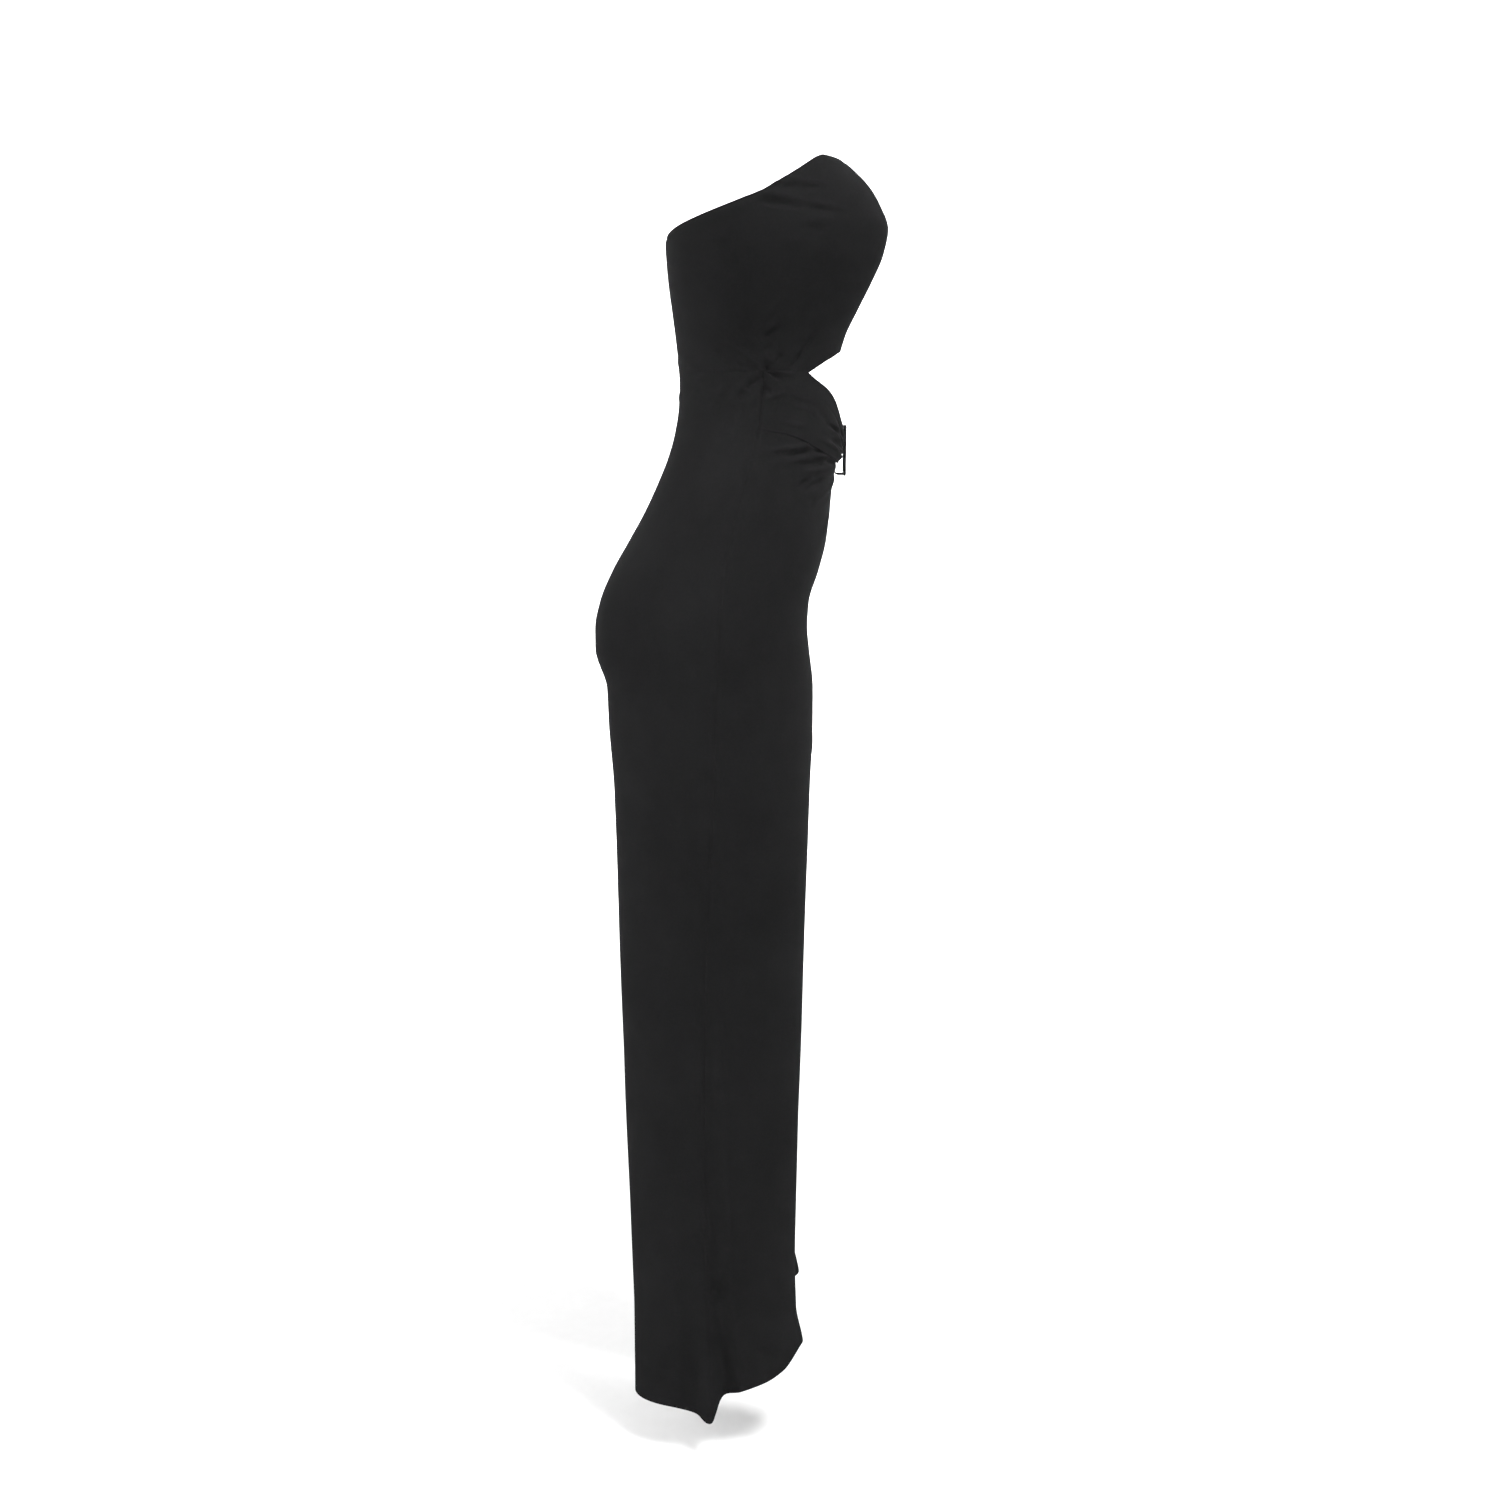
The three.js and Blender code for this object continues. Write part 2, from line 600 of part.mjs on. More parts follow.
// The buckle: a rounded frame, and behind it a centre bar that carries the band.
function solid(geometry) {
  const bare = geometry.clone();
  bare.deleteAttribute("normal");
  bare.deleteAttribute("uv");
  const merged = mergeVertices(bare, 1e-4);
  return new wasm.Manifold(
    new wasm.Mesh({
      numProp: 3,
      vertProperties: new Float32Array(merged.getAttribute("position").array),
      triVerts: new Uint32Array(merged.getIndex().array),
    })
  );
}

function fromSolid(body) {
  const mesh = body.getMesh();
  const geometry = new THREE.BufferGeometry();
  geometry.setAttribute("position", new THREE.BufferAttribute(mesh.vertProperties, 3));
  geometry.setIndex(new THREE.BufferAttribute(mesh.triVerts, 1));
  geometry.computeVertexNormals();
  return geometry;
}

function roundedRectangle(target, width, height, radius) {
  const w = width / 2;
  const h = height / 2;
  target.moveTo(-w + radius, -h);
  target.lineTo(w - radius, -h);
  target.absarc(w - radius, -h + radius, radius, -Math.PI / 2, 0, false);
  target.lineTo(w, h - radius);
  target.absarc(w - radius, h - radius, radius, 0, Math.PI / 2, false);
  target.lineTo(-w + radius, h);
  target.absarc(-w + radius, h - radius, radius, Math.PI / 2, Math.PI, false);
  target.lineTo(-w, -h + radius);
  target.absarc(-w + radius, -h + radius, radius, Math.PI, 1.5 * Math.PI, false);
  return target;
}

function buckle() {
  const height = BUCKLE_TOP - BUCKLE_BOTTOM;
  const rim = roundedRectangle(new THREE.Shape(), BUCKLE_WIDTH, height, BUCKLE_CORNER);
  const window = [BUCKLE_WIDTH, height].map((size) => size - 2 * BUCKLE_BAR);
  rim.holes.push(roundedRectangle(new THREE.Path(), ...window, BUCKLE_CORNER - BUCKLE_BAR));
  const depth = BUCKLE_FRONT - BUCKLE_BACK;
  const bevel = 0.4;
  const ring = new THREE.ExtrudeGeometry(rim, {
    depth: depth - 2 * bevel,
    bevelEnabled: true,
    bevelSize: bevel,
    bevelOffset: -bevel,
    bevelThickness: bevel,
    bevelSegments: 1,
    curveSegments: 5,
  });
  ring.rotateX(Math.PI / 2);
  ring.translate(0, -BUCKLE_BACK - bevel, (BUCKLE_TOP + BUCKLE_BOTTOM) / 2);

  // The centre bar, drawn from the side: across the page is forward, up the page is up.
  const top = { high: BUCKLE_TOP - 0.7, low: BUCKLE_TOP - 3.2, back: 79.8 };
  const foot = { high: BUCKLE_BOTTOM + 3.4, low: BUCKLE_BOTTOM + 0.6, back: 77 };
  const reach = BUCKLE_BACK + 1;
  const side = new THREE.Shape();
  side.moveTo(reach, top.high);
  side.lineTo(top.back + 1, top.high);
  side.lineTo(top.back, top.high - 1);
  side.lineTo(foot.back, foot.low + 1);
  side.lineTo(foot.back + 1, foot.low);
  side.lineTo(reach, foot.low);
  side.lineTo(reach, foot.high);
  side.lineTo(foot.back + CENTRE_BAR_DEPTH, foot.high);
  side.lineTo(top.back + CENTRE_BAR_DEPTH, top.low);
  side.lineTo(reach, top.low);
  side.closePath();
  const bar = new THREE.ExtrudeGeometry(side, { depth: CENTRE_BAR_WIDTH, bevelEnabled: false });
  bar.rotateX(Math.PI / 2);
  bar.rotateZ(-Math.PI / 2);
  bar.translate(-CENTRE_BAR_WIDTH / 2, 0, 0);
  return piece("buckle", fromSolid(solid(ring).add(solid(bar))), gunmetal());
}

const jumpsuit = new THREE.Group();
jumpsuit.add(
  bodice("bodice_front", 0, bodiceFrontFoot, 28, 13),
  bodice("bodice_back", 1, () => WAIST_SEAM, 22, 8),
  band(),
  trouser("front_leg_right", 1, false),
  trouser("front_leg_left", -1, false),
  trouser("back_leg_right", 1, true),
  trouser("back_leg_left", -1, true),
  buckle()
);

export default jumpsuit;
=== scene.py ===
# %% [markdown]
# A black strapless jumpsuit in stretch jersey, with a cutout in front and a buckle at the waist.
# The solids of the CAD model are loaded first, because they fix the size and place of every
# piece. Each cloth piece is then drawn again as a finer shell on the same form.

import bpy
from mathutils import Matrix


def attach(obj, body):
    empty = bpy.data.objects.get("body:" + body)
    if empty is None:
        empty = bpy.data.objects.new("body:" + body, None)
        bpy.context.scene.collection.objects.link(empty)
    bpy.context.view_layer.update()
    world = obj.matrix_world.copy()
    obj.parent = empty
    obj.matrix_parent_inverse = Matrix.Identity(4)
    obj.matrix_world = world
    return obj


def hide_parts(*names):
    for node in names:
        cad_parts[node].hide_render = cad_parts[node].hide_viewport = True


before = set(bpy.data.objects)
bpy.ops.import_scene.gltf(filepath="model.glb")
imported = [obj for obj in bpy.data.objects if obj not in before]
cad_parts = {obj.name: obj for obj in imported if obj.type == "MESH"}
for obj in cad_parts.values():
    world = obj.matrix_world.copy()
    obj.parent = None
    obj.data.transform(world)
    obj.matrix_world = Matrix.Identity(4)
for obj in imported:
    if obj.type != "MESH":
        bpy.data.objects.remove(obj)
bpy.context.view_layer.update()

# %% [markdown]
# The view of a picture is set before anything else, because each fold is judged from there.
# The camera stands at the side, a little over waist height, and looks slightly down. The lens
# is worked out from the field of view, so that the whole length fills the frame. The standard
# view of colours keeps pale paper white, where a filmic one would turn it grey.

# %% Camera
import math

import bpy
import numpy as np

VIEW_PLACE = (-1.51, 0.009, -0.030)
VIEW_TILT = 12.95  # degrees below the horizon
VIEW_FOCUS = 1450 / 1500  # focal length in widths of the picture

lens = bpy.data.cameras.new("studio_camera")
lens.sensor_width = 36
lens.lens = 36 * VIEW_FOCUS
camera = bpy.data.objects.new("studio_camera", lens)
camera.location = VIEW_PLACE
camera.rotation_euler = (math.radians(90 - VIEW_TILT), 0, math.radians(-90))
bpy.context.collection.objects.link(camera)
bpy.context.scene.camera = camera
bpy.context.scene.view_settings.view_transform = "Standard"
print("lens", round(lens.lens, 2), "mm")

# %% [markdown]
# Shader maths reads best as ordinary sums. A small class wraps one socket of a material, and
# each operator adds the Math node that it stands for. Colours are mixed by their own node,
# because a Math node would turn them grey.

# %% Sums on sockets
class Term:
    """A number that varies over a surface, as an output of a material's nodes."""

    def __init__(self, finish, socket):
        self.finish = finish
        self.socket = socket

    def sum(self, operation, *values):
        made = self.finish.node("ShaderNodeMath", {"operation": operation}, *values)
        return made[0]

    def __add__(self, other):
        return self.sum("ADD", self, other)

    def __sub__(self, other):
        return self.sum("SUBTRACT", self, other)

    def __rsub__(self, other):
        return self.sum("SUBTRACT", other, self)

    def __mul__(self, other):
        return self.sum("MULTIPLY", self, other)

    def __pow__(self, other):
        return self.sum("POWER", self, other)

    __radd__ = __add__
    __rmul__ = __mul__

    def sine(self):
        return self.sum("SINE", self)

    def whole(self):
        return self.sum("FLOOR", self)

    def size(self):
        return self.sum("ABSOLUTE", self)

    def within(self, low, high):
        span = {"clamp": True}
        return self.finish.node("ShaderNodeMapRange", span, self, low, high, 0.0, 1.0)[0]


class Finish:
    """A material under construction, with one way to add any node."""

    def __init__(self, name):
        self.material = bpy.data.materials.new(name)
        self.material.use_nodes = True
        self.tree = self.material.node_tree
        self.shader = self.tree.nodes["Principled BSDF"]

    def set(self, socket, value):
        if isinstance(value, Term):
            self.tree.links.new(value.socket, socket)
        elif value is not None:
            socket.default_value = value

    def node(self, kind, settings=None, *values, **named):
        made = self.tree.nodes.new(kind)
        for key, value in (settings or {}).items():
            setattr(made, key, value)
        for socket, value in zip(made.inputs, values):
            self.set(socket, value)
        for name, value in named.items():
            self.set(made.inputs[name.replace("_", " ")], value)
        return [Term(self, out) for out in made.outputs]

    def blend(self, share, first, second):
        """The first colour where share is 0, the second where it is 1."""
        made = self.tree.nodes.new("ShaderNodeMix")
        made.data_type = "RGBA"
        self.set(made.inputs[0], share)
        self.set(made.inputs[6], first)
        self.set(made.inputs[7], second)
        return Term(self, made.outputs[2])

    def dress(self, **sockets):
        for name, value in sockets.items():
            self.set(self.shader.inputs[name.replace("_", " ")], value)
        return self.material


# %% [markdown]
# Clothes are pictured on pale paper that sweeps from the floor up behind them. A wide disc
# that curls up at its rim does the same from every side. Its matt white has a faint grain, so
# that it doesn't look like empty space.

# %% Floor
FLOOR = -1.165  # the trousers hang a little clear of it


def paper_sweep(name, flat, bend, wall):
    """A round floor that curls up into a wall, as rings of faces."""
    swing = np.linspace(0, np.pi / 2, 12)
    reach = [0.4, 1.2, 2.4, *(flat + bend * np.sin(swing)), flat + bend]
    rise = [0, 0, 0, *(bend - bend * np.cos(swing)), bend + wall]
    turns = np.linspace(0, 2 * np.pi, 96, endpoint=False)
    points = [(0, 0, FLOOR)]
    for r, z in zip(reach, rise):
        points += [(r * math.cos(a), r * math.sin(a), FLOOR + z) for a in turns]
    faces = [(0, 1 + k, 1 + (k + 1) % 96) for k in range(96)]
    for ring in range(len(reach) - 1):
        low = 1 + 96 * ring
        for k in range(96):
            n = (k + 1) % 96
            faces.append((low + k, low + 96 + k, low + 96 + n, low + n))
    mesh = bpy.data.meshes.new(name)
    mesh.from_pydata(points, [], faces)
    for face in mesh.polygons:
        face.use_smooth = True
    sweep = bpy.data.objects.new(name, mesh)
    bpy.context.collection.objects.link(sweep)
    return sweep


paper = Finish("pale_paper")
grain = paper.node("ShaderNodeTexNoise", {}, Scale=900.0, Detail=2.0)[0]
paper.dress(
    Base_Color=paper.blend(grain, (0.86, 0.86, 0.86, 1), (0.9, 0.9, 0.9, 1)),
    Roughness=0.95,
)
floor = paper_sweep("paper_floor", 4.0, 2.0, 2.5)
floor.data.materials.append(paper.material)

# %% [markdown]
# Black cloth shows its creases only where light slants across them. The air glows weakly, so
# that no side is lost. A large soft panel above rakes down the cloth, one in front and one
# behind give the bust and the hip their long highlights, and two more light the paper alone.

# %% Light
world = bpy.data.worlds.new("bright_air")
bpy.context.scene.world = world
world.use_nodes = True
air = world.node_tree.nodes["Background"]
air.inputs["Color"].default_value = (1.0, 1.0, 1.0, 1)
air.inputs["Strength"].default_value = 0.4


def light_panel(name, place, target, width, height, watts):
    panel = bpy.data.lights.new(name, "AREA")
    panel.shape = "RECTANGLE"
    panel.size = width
    panel.size_y = height
    panel.energy = watts
    holder = bpy.data.objects.new(name, panel)
    holder.location = place
    way = np.subtract(target, place)
    flat = math.hypot(way[0], way[1])
    pitch = math.atan2(flat, -way[2])
    turn = math.atan2(-way[0], way[1])
    holder.rotation_euler = (pitch, 0, turn)
    holder.visible_camera = False
    bpy.context.collection.objects.link(holder)
    return holder


light_panel("panel_above", (-0.8, -1.0, 2.2), (0, 0, 0.0), 0.9, 0.9, 112)
light_panel("panel_front", (-0.6, -2.4, 0.5), (0, 0, -0.2), 0.9, 1.6, 6)
light_panel("panel_behind", (-0.9, 2.3, 0.3), (0, 0, -0.5), 0.9, 1.8, 46)
light_panel("panel_far", (2.4, 0.3, 1.2), (0, 0, -0.2), 1.4, 1.8, 6)
light_panel("paper_light_right", (1.6, -1.6, 1.2), (5.0, -2.0, 0.2), 1.5, 1.5, 300)
light_panel("paper_light_left", (1.6, 1.6, 1.2), (5.0, 2.0, 0.2), 1.5, 1.5, 300)

# %% [markdown]
# The form of the garment is a stack of level sections, as a dressmaker would measure a form:
# how far it reaches to the front, the back and the side at each height. They are the tables of
# the CAD source, in millimetres, so that every piece lands on its solid. A curve that never
# swings past its rows joins them.

# %% Smooth curves through tables
MM = 0.001


def smooth_curve(at, values):
    """A curve through the rows which never swings past them."""
    order = np.argsort(at)
    x = np.asarray(at, float)[order]
    y = np.asarray(values, float)[order]
    step = np.diff(x)
    slope = np.diff(y) / step
    tangent = np.concatenate([slope[:1], np.zeros(len(x) - 2), slope[-1:]])
    for i in range(1, len(x) - 1):
        if slope[i - 1] * slope[i] > 0:
            a = 2 * step[i] + step[i - 1]
            b = step[i] + 2 * step[i - 1]
            tangent[i] = (a + b) / (a / slope[i - 1] + b / slope[i])

    def read(place):
        place = np.clip(place, x[0], x[-1])
        i = np.clip(np.searchsorted(x, place, side="right") - 1, 0, len(step) - 1)
        t = (place - x[i]) / step[i]
        bend = (t**3 - 2 * t**2 + t) * tangent[i] + (t**3 - t**2) * tangent[i + 1]
        line = (2 * t**3 - 3 * t**2 + 1) * y[i] + (3 * t**2 - 2 * t**3) * y[i + 1]
        return line + bend * step[i]

    return read


def table_curves(names, rows):
    """One curve for each column, read by the first one."""
    columns = list(zip(*rows))
    return {name: smooth_curve(columns[0], column) for name, column in zip(names, columns)}


def smooth(t):
    t = np.clip(t, 0, 1)
    return t * t * (3 - 2 * t)


# %% Sections of the hollow
section = table_curves(
    ("z", "front", "back", "side", "seam", "front_x", "back_x"),
    (
        (230, 56, -93, 132, -10, 50, 30),
        (215, 70, -93, 133, -11, 52, 30),
        (200, 83, -93, 134.5, -12, 55, 30),
        (192, 91.5, -93, 135.3, -12, 57, 30),
        (185, 99, -92.5, 136, -12, 58, 30),
        (175, 107.2, -92.2, 136.8, -12, 60, 30),
        (165, 113.2, -92, 137.5, -12, 61, 30),
        (142, 121.8, -91.5, 138, -12, 62, 30),
        (120, 117.9, -90.5, 136, -11, 61, 30),
        (95, 107.6, -88.5, 131, -9, 56, 30),
        (70, 95.2, -85.5, 125, -6, 48, 28),
        (45, 83.6, -82.5, 118.5, -2, 38, 26),
        (20, 78.2, -80, 114.5, 3, 28, 24),
        (0, 78, -79, 113, 4, 24, 22),
        (-20, 79.3, -80, 114.5, 2, 24, 22),
        (-45, 79.2, -84, 119.5, -2, 26, 22),
        (-70, 77.6, -91, 128, -8, 28, 26),
        (-95, 73.8, -101.2, 137, -15, 30, 32),
        (-120, 71.4, -113, 146, -21, 32, 38),
        (-150, 68.1, -130, 154.5, -28, 36, 46),
        (-180, 60.2, -147, 161, -33, 45, 54),
        (-210, 50, -159.2, 165.5, -36, 60, 61),
        (-235, 48.2, -163.8, 168, -38, 67, 66),
        (-255, 50, -163.6, 169.5, -39, 70, 69),
        (-295, 54.3, -152.3, 170, -41, 73, 74),
        (-335, 54.6, -151, 167.5, -42, 74, 75),
        (-400, 52, -147.5, 162, -44, 74, 75),
        (-520, 49.4, -146.2, 149.5, -51, 73.5, 74),
        (-600, 47.3, -145.5, 141, -54, 73, 73),
        (-800, 42.7, -142, 122, -56, 70.5, 70),
        (-920, 41, -140, 112.5, -55, 69, 69),
        (-1000, 43, -138.5, 106.5, -54, 68, 68),
        (-1045, 51, -138.8, 103, -53, 68, 68),
        (-1125, 56, -139.8, 101, -52, 68, 68),
    ),
)

# %% Rise, crotch and inside leg
RISE_BEND = -235
CROTCH = -345
CROTCH_FORWARD = -38
SPREAD_END = -480

rise = table_curves(
    ("z", "front", "back"),
    (
        (230, 52, -92),
        (200, 76.5, -92),
        (142, 112, -90.5),
        (95, 101.5, -88),
        (45, 82, -82),
        (0, 77.7, -79),
        (-45, 79, -84),
        (-70, 77.4, -90.6),
        (-95, 73.6, -100.2),
        (-150, 67.6, -128),
        (-180, 59, -145),
        (-210, 48, -157.4),
        (-235, 45.7, -161.4),
    ),
)
inseam = table_curves(
    ("z", "forward", "inner", "bow"),
    (
        (CROTCH, CROTCH_FORWARD, 0.5, 0.55),
        (-375, -42, 3, 0.62),
        (-450, -46, 10, 0.85),
        (-540, -48, 17, 1),
        (-800, -49, 28, 1),
        (-1125, -46, 36, 1),
    ),
)

# %% [markdown]
# Cloth pieces end on curves: the top edge, the two edges of the cutout, the foot of the band
# and the slanting hem. A place on the garment is named by how far across it lies, 0 at the
# centre front, 0.5 at the side seam and 1 at the centre back, and by its height.

# %% Edges of the pieces
WAIST_SEAM = 11
LAP = 10
CUTOUT_APEX = 0.352


def edge_curve(*rows):
    across, height = zip(*rows)
    return smooth_curve(across, height)


top_edge = edge_curve(
    (0, 202),
    (0.1, 202.5),
    (0.2, 203),
    (0.29, 203),
    (0.32, 200),
    (0.35, 194.5),
    (0.4, 183.5),
    (0.5, 162),
    (0.7, 144),
    (1, 133),
)
cutout_top = edge_curve(
    (0, 33),
    (0.12, 31.8),
    (0.2, 28.3),
    (0.29, 19.2),
    (CUTOUT_APEX, WAIST_SEAM),
)
cutout_foot = edge_curve(
    (0, -43.6),
    (0.07, -43.6),
    (0.107, -40.5),
    (0.148, -33),
    (0.178, -24),
    (0.211, -14),
    (0.252, -5),
    (0.32, 5),
    (CUTOUT_APEX, WAIST_SEAM),
)
band_foot = edge_curve(
    (0, -75.5),
    (0.1, -74.5),
    (0.15, -72.3),
    (0.19, -69.5),
    (0.26, -63.5),
    (0.31, -58),
    (0.36, -51.5),
    (0.42, -45.8),
    (0.5, -42.5),
)
hem = edge_curve(
    (0, -1082),
    (0.1, -1062),
    (0.2, -1043),
    (0.255, -1043),
    (0.32, -1066.5),
    (0.36, -1076.5),
    (0.44, -1088),
    (0.474, -1093),
    (0.5, -1115),
    (0.52, -1116),
    (0.535, -1115),
    (0.552, -1112.5),
    (0.6, -1107),
    (0.68, -1106),
    (0.75, -1104.5),
    (0.9, -1098),
    (1, -1082),
)

# %% [markdown]
# Each quarter of a section runs from the middle to the side seam: a flat or rounded inner part,
# then a quarter of an oval. Through the crotch the inner part turns from a level crossing of
# the middle into the inside of a leg.

# %% Draw quarters of a section
QUARTER_STEPS = 72


def leg_share(z):
    return smooth(1.25 * (RISE_BEND - z) / (RISE_BEND - CROTCH))


def middle_edge(z, behind):
    """Where each quarter starts: its distance forward and off the middle plane."""
    forward = rise["back" if behind else "front"](z)
    sunk = np.clip((RISE_BEND - z) / (RISE_BEND - CROTCH), 0, 1)
    forward = CROTCH_FORWARD + (forward - CROTCH_FORWARD) * np.sqrt(1 - sunk**2)
    legs = z < CROTCH
    return np.where(legs, inseam["forward"](z), forward), np.where(legs, inseam["inner"](z), 0)


def draw_quarters(z, behind):
    """Half widths, distances forward and lengths walked, one row of points for each height."""
    far = section["back" if behind else "front"](z)[:, None]
    far_x = section["back_x" if behind else "front_x"](z)[:, None]
    side = section["side"](z)[:, None]
    seam = section["seam"](z)[:, None]
    start, inner = (v[:, None] for v in middle_edge(z, behind))
    bow = inseam["bow"](z)[:, None]
    legs = leg_share(z)[:, None]
    t = np.arange(QUARTER_STEPS) / QUARTER_STEPS
    swing = t * np.pi / 2
    flat_out = far_x * t
    bent_out = far_x - (far_x - inner) * np.cos(swing) ** bow
    flat_forward = start + (far - start) * (0.5 - 0.5 * np.cos(np.pi * t))
    bent_forward = start + (far - start) * np.sin(swing) ** bow
    swing = np.linspace(0, np.pi / 2, QUARTER_STEPS + 1)
    oval_out = far_x + (side - far_x) * np.sin(swing)
    oval_forward = seam + (far - seam) * np.cos(swing)
    out = np.hstack([flat_out + (bent_out - flat_out) * legs, oval_out])
    forward = np.hstack([flat_forward + (bent_forward - flat_forward) * legs, oval_forward])
    steps = np.hypot(np.diff(out), np.diff(forward))
    walked = np.hstack([np.zeros((len(z), 1)), np.cumsum(steps, axis=1)])
    return out, forward, walked


def inner_share(z, behind, inner, whole):
    """The inner part's share of across, spread over a long stretch through the crotch."""
    ends = draw_quarters(np.array([RISE_BEND, SPREAD_END], float), behind)[2]
    above, below = ends[:, QUARTER_STEPS] / ends[:, -1]
    t = smooth((RISE_BEND - z) / (RISE_BEND - SPREAD_END))
    spread = (z < RISE_BEND) & (z > SPREAD_END)
    return np.where(spread, above + (below - above) * t, inner / whole)


def find_in_quarter(share, z, behind):
    """Half width, distance forward, length walked and length left at shares of a quarter."""
    out, forward, walked = draw_quarters(z, behind)
    whole = walked[:, -1:]
    inner = walked[:, QUARTER_STEPS][:, None]
    part = inner_share(z, behind, inner[:, 0], whole[:, 0])[:, None]
    beyond = part + (1 - part) * (walked - inner) / (whole - inner)
    reached = np.where(walked <= inner, part * walked / inner, beyond)
    low = np.clip((reached <= share[:, None]).sum(1) - 1, 0, reached.shape[1] - 2)
    row = np.arange(len(z))
    span = reached[row, low + 1] - reached[row, low]
    t = np.where(span > 0, (share - reached[row, low]) / np.where(span > 0, span, 1), 0)
    found = [v[row, low] + (v[row, low + 1] - v[row, low]) * t for v in (out, forward, walked)]
    return np.stack([*found, whole[:, 0] - found[2]], -1)


# %% [markdown]
# A piece needs many thousands of places at once, so they are looked up in batches. The side
# seam is the zero of the distance across: negative towards the front and positive behind.

# %% Places on the smooth form
BATCH = 4096


def locate(across, z):
    """Points of the smooth form, and two lengths: from the side seam and from the middle."""
    part = np.abs(across).ravel()
    level = np.broadcast_to(z, across.shape).astype(float).ravel()
    found = np.empty((len(part), 4))
    for behind in (False, True):
        chosen = np.flatnonzero((part > 0.5) == behind)
        for k in range(0, len(chosen), BATCH):
            some = chosen[k : k + BATCH]
            share = 2 * (1 - part[some] if behind else part[some])
            found[some] = find_in_quarter(share, level[some], behind)
    found = found.reshape(across.shape + (4,))
    x = np.where(across < 0, found[..., 0], -found[..., 0])
    points = np.stack([x, -found[..., 1], np.broadcast_to(z, across.shape)], -1)
    from_side = np.where(np.abs(across) > 0.5, found[..., 3], -found[..., 3])
    return points, from_side, found[..., 2]


LEVELS = np.arange(-1130.0, 232.0, 4.0)
seam_walks = {}


def from_side_seam(part, z):
    """Distance along the section from the side seam to a part, at each height."""
    if part not in seam_walks:
        seam_walks[part] = locate(np.full_like(LEVELS, part), LEVELS)[1]
    return np.interp(z, LEVELS, seam_walks[part])


waist = 2 * sum(abs(from_side_seam(part, np.array([0.0]))[0]) for part in (0, 1))
hips = 2 * sum(abs(from_side_seam(part, np.array([-252.0]))[0]) for part in (0, 1))
print("girth in mm: waist", round(waist), "hips", round(hips))

# %% [markdown]
# Folds are the life of worn cloth. Each one is a soft ridge or trough along a short line, with its own
# width and height, and fades out as a rounded hump. The large ones are also in the solids; the small
# creases are placed here one by one, because jersey never puckers evenly.

# %% Raise folds
def fold_heights(rows, part, from_side, z, taper):
    """The height of all folds at each place; taper makes a fold vanish at both its ends."""
    height = np.zeros_like(z)
    for from_part, from_z, to_part, to_z, width, start, end in rows:
        low = min(from_z, to_z) - width
        near = np.flatnonzero((z.ravel() > low) & (z.ravel() < max(from_z, to_z) + width))
        level = z.ravel()[near]
        foot = from_side_seam(from_part, level)
        run = from_side_seam(to_part, level) - foot
        rise_z = to_z - from_z
        gap = from_side.ravel()[near] - foot
        gap_z = level - from_z
        t = np.clip((run * gap + rise_z * gap_z) / (run**2 + rise_z**2), 0, 1)
        away = np.hypot(gap - run * t, gap_z - rise_z * t) / width
        shape = np.where(away < 1, (1 - np.minimum(away, 1) ** 2) ** 2, 0)
        if taper:
            shape = shape * (4 * t * (1 - t) + 0.15) / 1.15
        height.ravel()[near] += (start + (end - start) * t) * shape
    return height


def vary_sides(rows, hand):
    """The same creases on the wearer's left, each a little moved and weaker or stronger."""
    if hand > 0:
        return rows
    moved = []
    for k, (part, z, to_part, to_z, width, start, end) in enumerate(rows):
        sway = math.sin(k * 2.4 + 1)
        moved.append(
            (
                part + 0.008 * sway,
                z + 4 * sway,
                to_part - 0.01 * sway,
                to_z - 3 * sway,
                width * (1 + 0.15 * sway),
                start * (1 + 0.25 * sway),
                end,
            )
        )
    return moved


def ripple(from_side, z, size, seed):
    """A slight unevenness of the cloth, as a sum of long crossing waves."""
    rng = np.random.default_rng(seed)
    height = np.zeros_like(z)
    for _ in range(9):
        length = size * rng.uniform(0.7, 1.8)
        turn = rng.uniform(0, np.pi)
        phase = rng.uniform(0, 2 * np.pi)
        wave = (from_side * math.cos(turn) + 0.6 * z * math.sin(turn)) * 2 * np.pi / length
        height += np.sin(wave + phase)
    return height / 9


# %% [markdown]
# Every cloth piece becomes one closed sheet: a grid of points on its outside, the same grid a
# cloth's thickness further in, and a rounded fold of three rows round its top and its foot.
# Extra rows and columns stand close to the edges, where cloth bends most.

# %% Build cloth as a closed sheet
CLOTH = 1.25
EDGE_STEPS = (0, 0.7, 1.6, 2.8, 4.4)


def marks(width, pitch):
    """Shares from 0 to 1, a pitch apart in mm, and closer near both ends."""
    near = np.array(EDGE_STEPS) / width
    count = max(2, round((width - 2 * EDGE_STEPS[-1]) / pitch))
    middle = np.linspace(near[-1], 1 - near[-1], count + 1)[1:-1]
    return np.concatenate([near, middle, 1 - near[::-1]])


def heights(high, low, pitches):
    """Rows of heights from the top edge down. pitches are (length, pitch) pairs in mm."""
    run = [0.0]
    for length, pitch in pitches:
        count = max(1, round(length / pitch))
        run += [run[-1] + length / count * (k + 1) for k in range(count)]
    share = np.array(run) / run[-1]
    near = np.array(EDGE_STEPS)[:, None]
    first = high - EDGE_STEPS[-1]
    last = low + EDGE_STEPS[-1]
    middle = first + (last - first) * share[1:-1, None]
    return np.vstack([high - near, middle, low + near[::-1]])


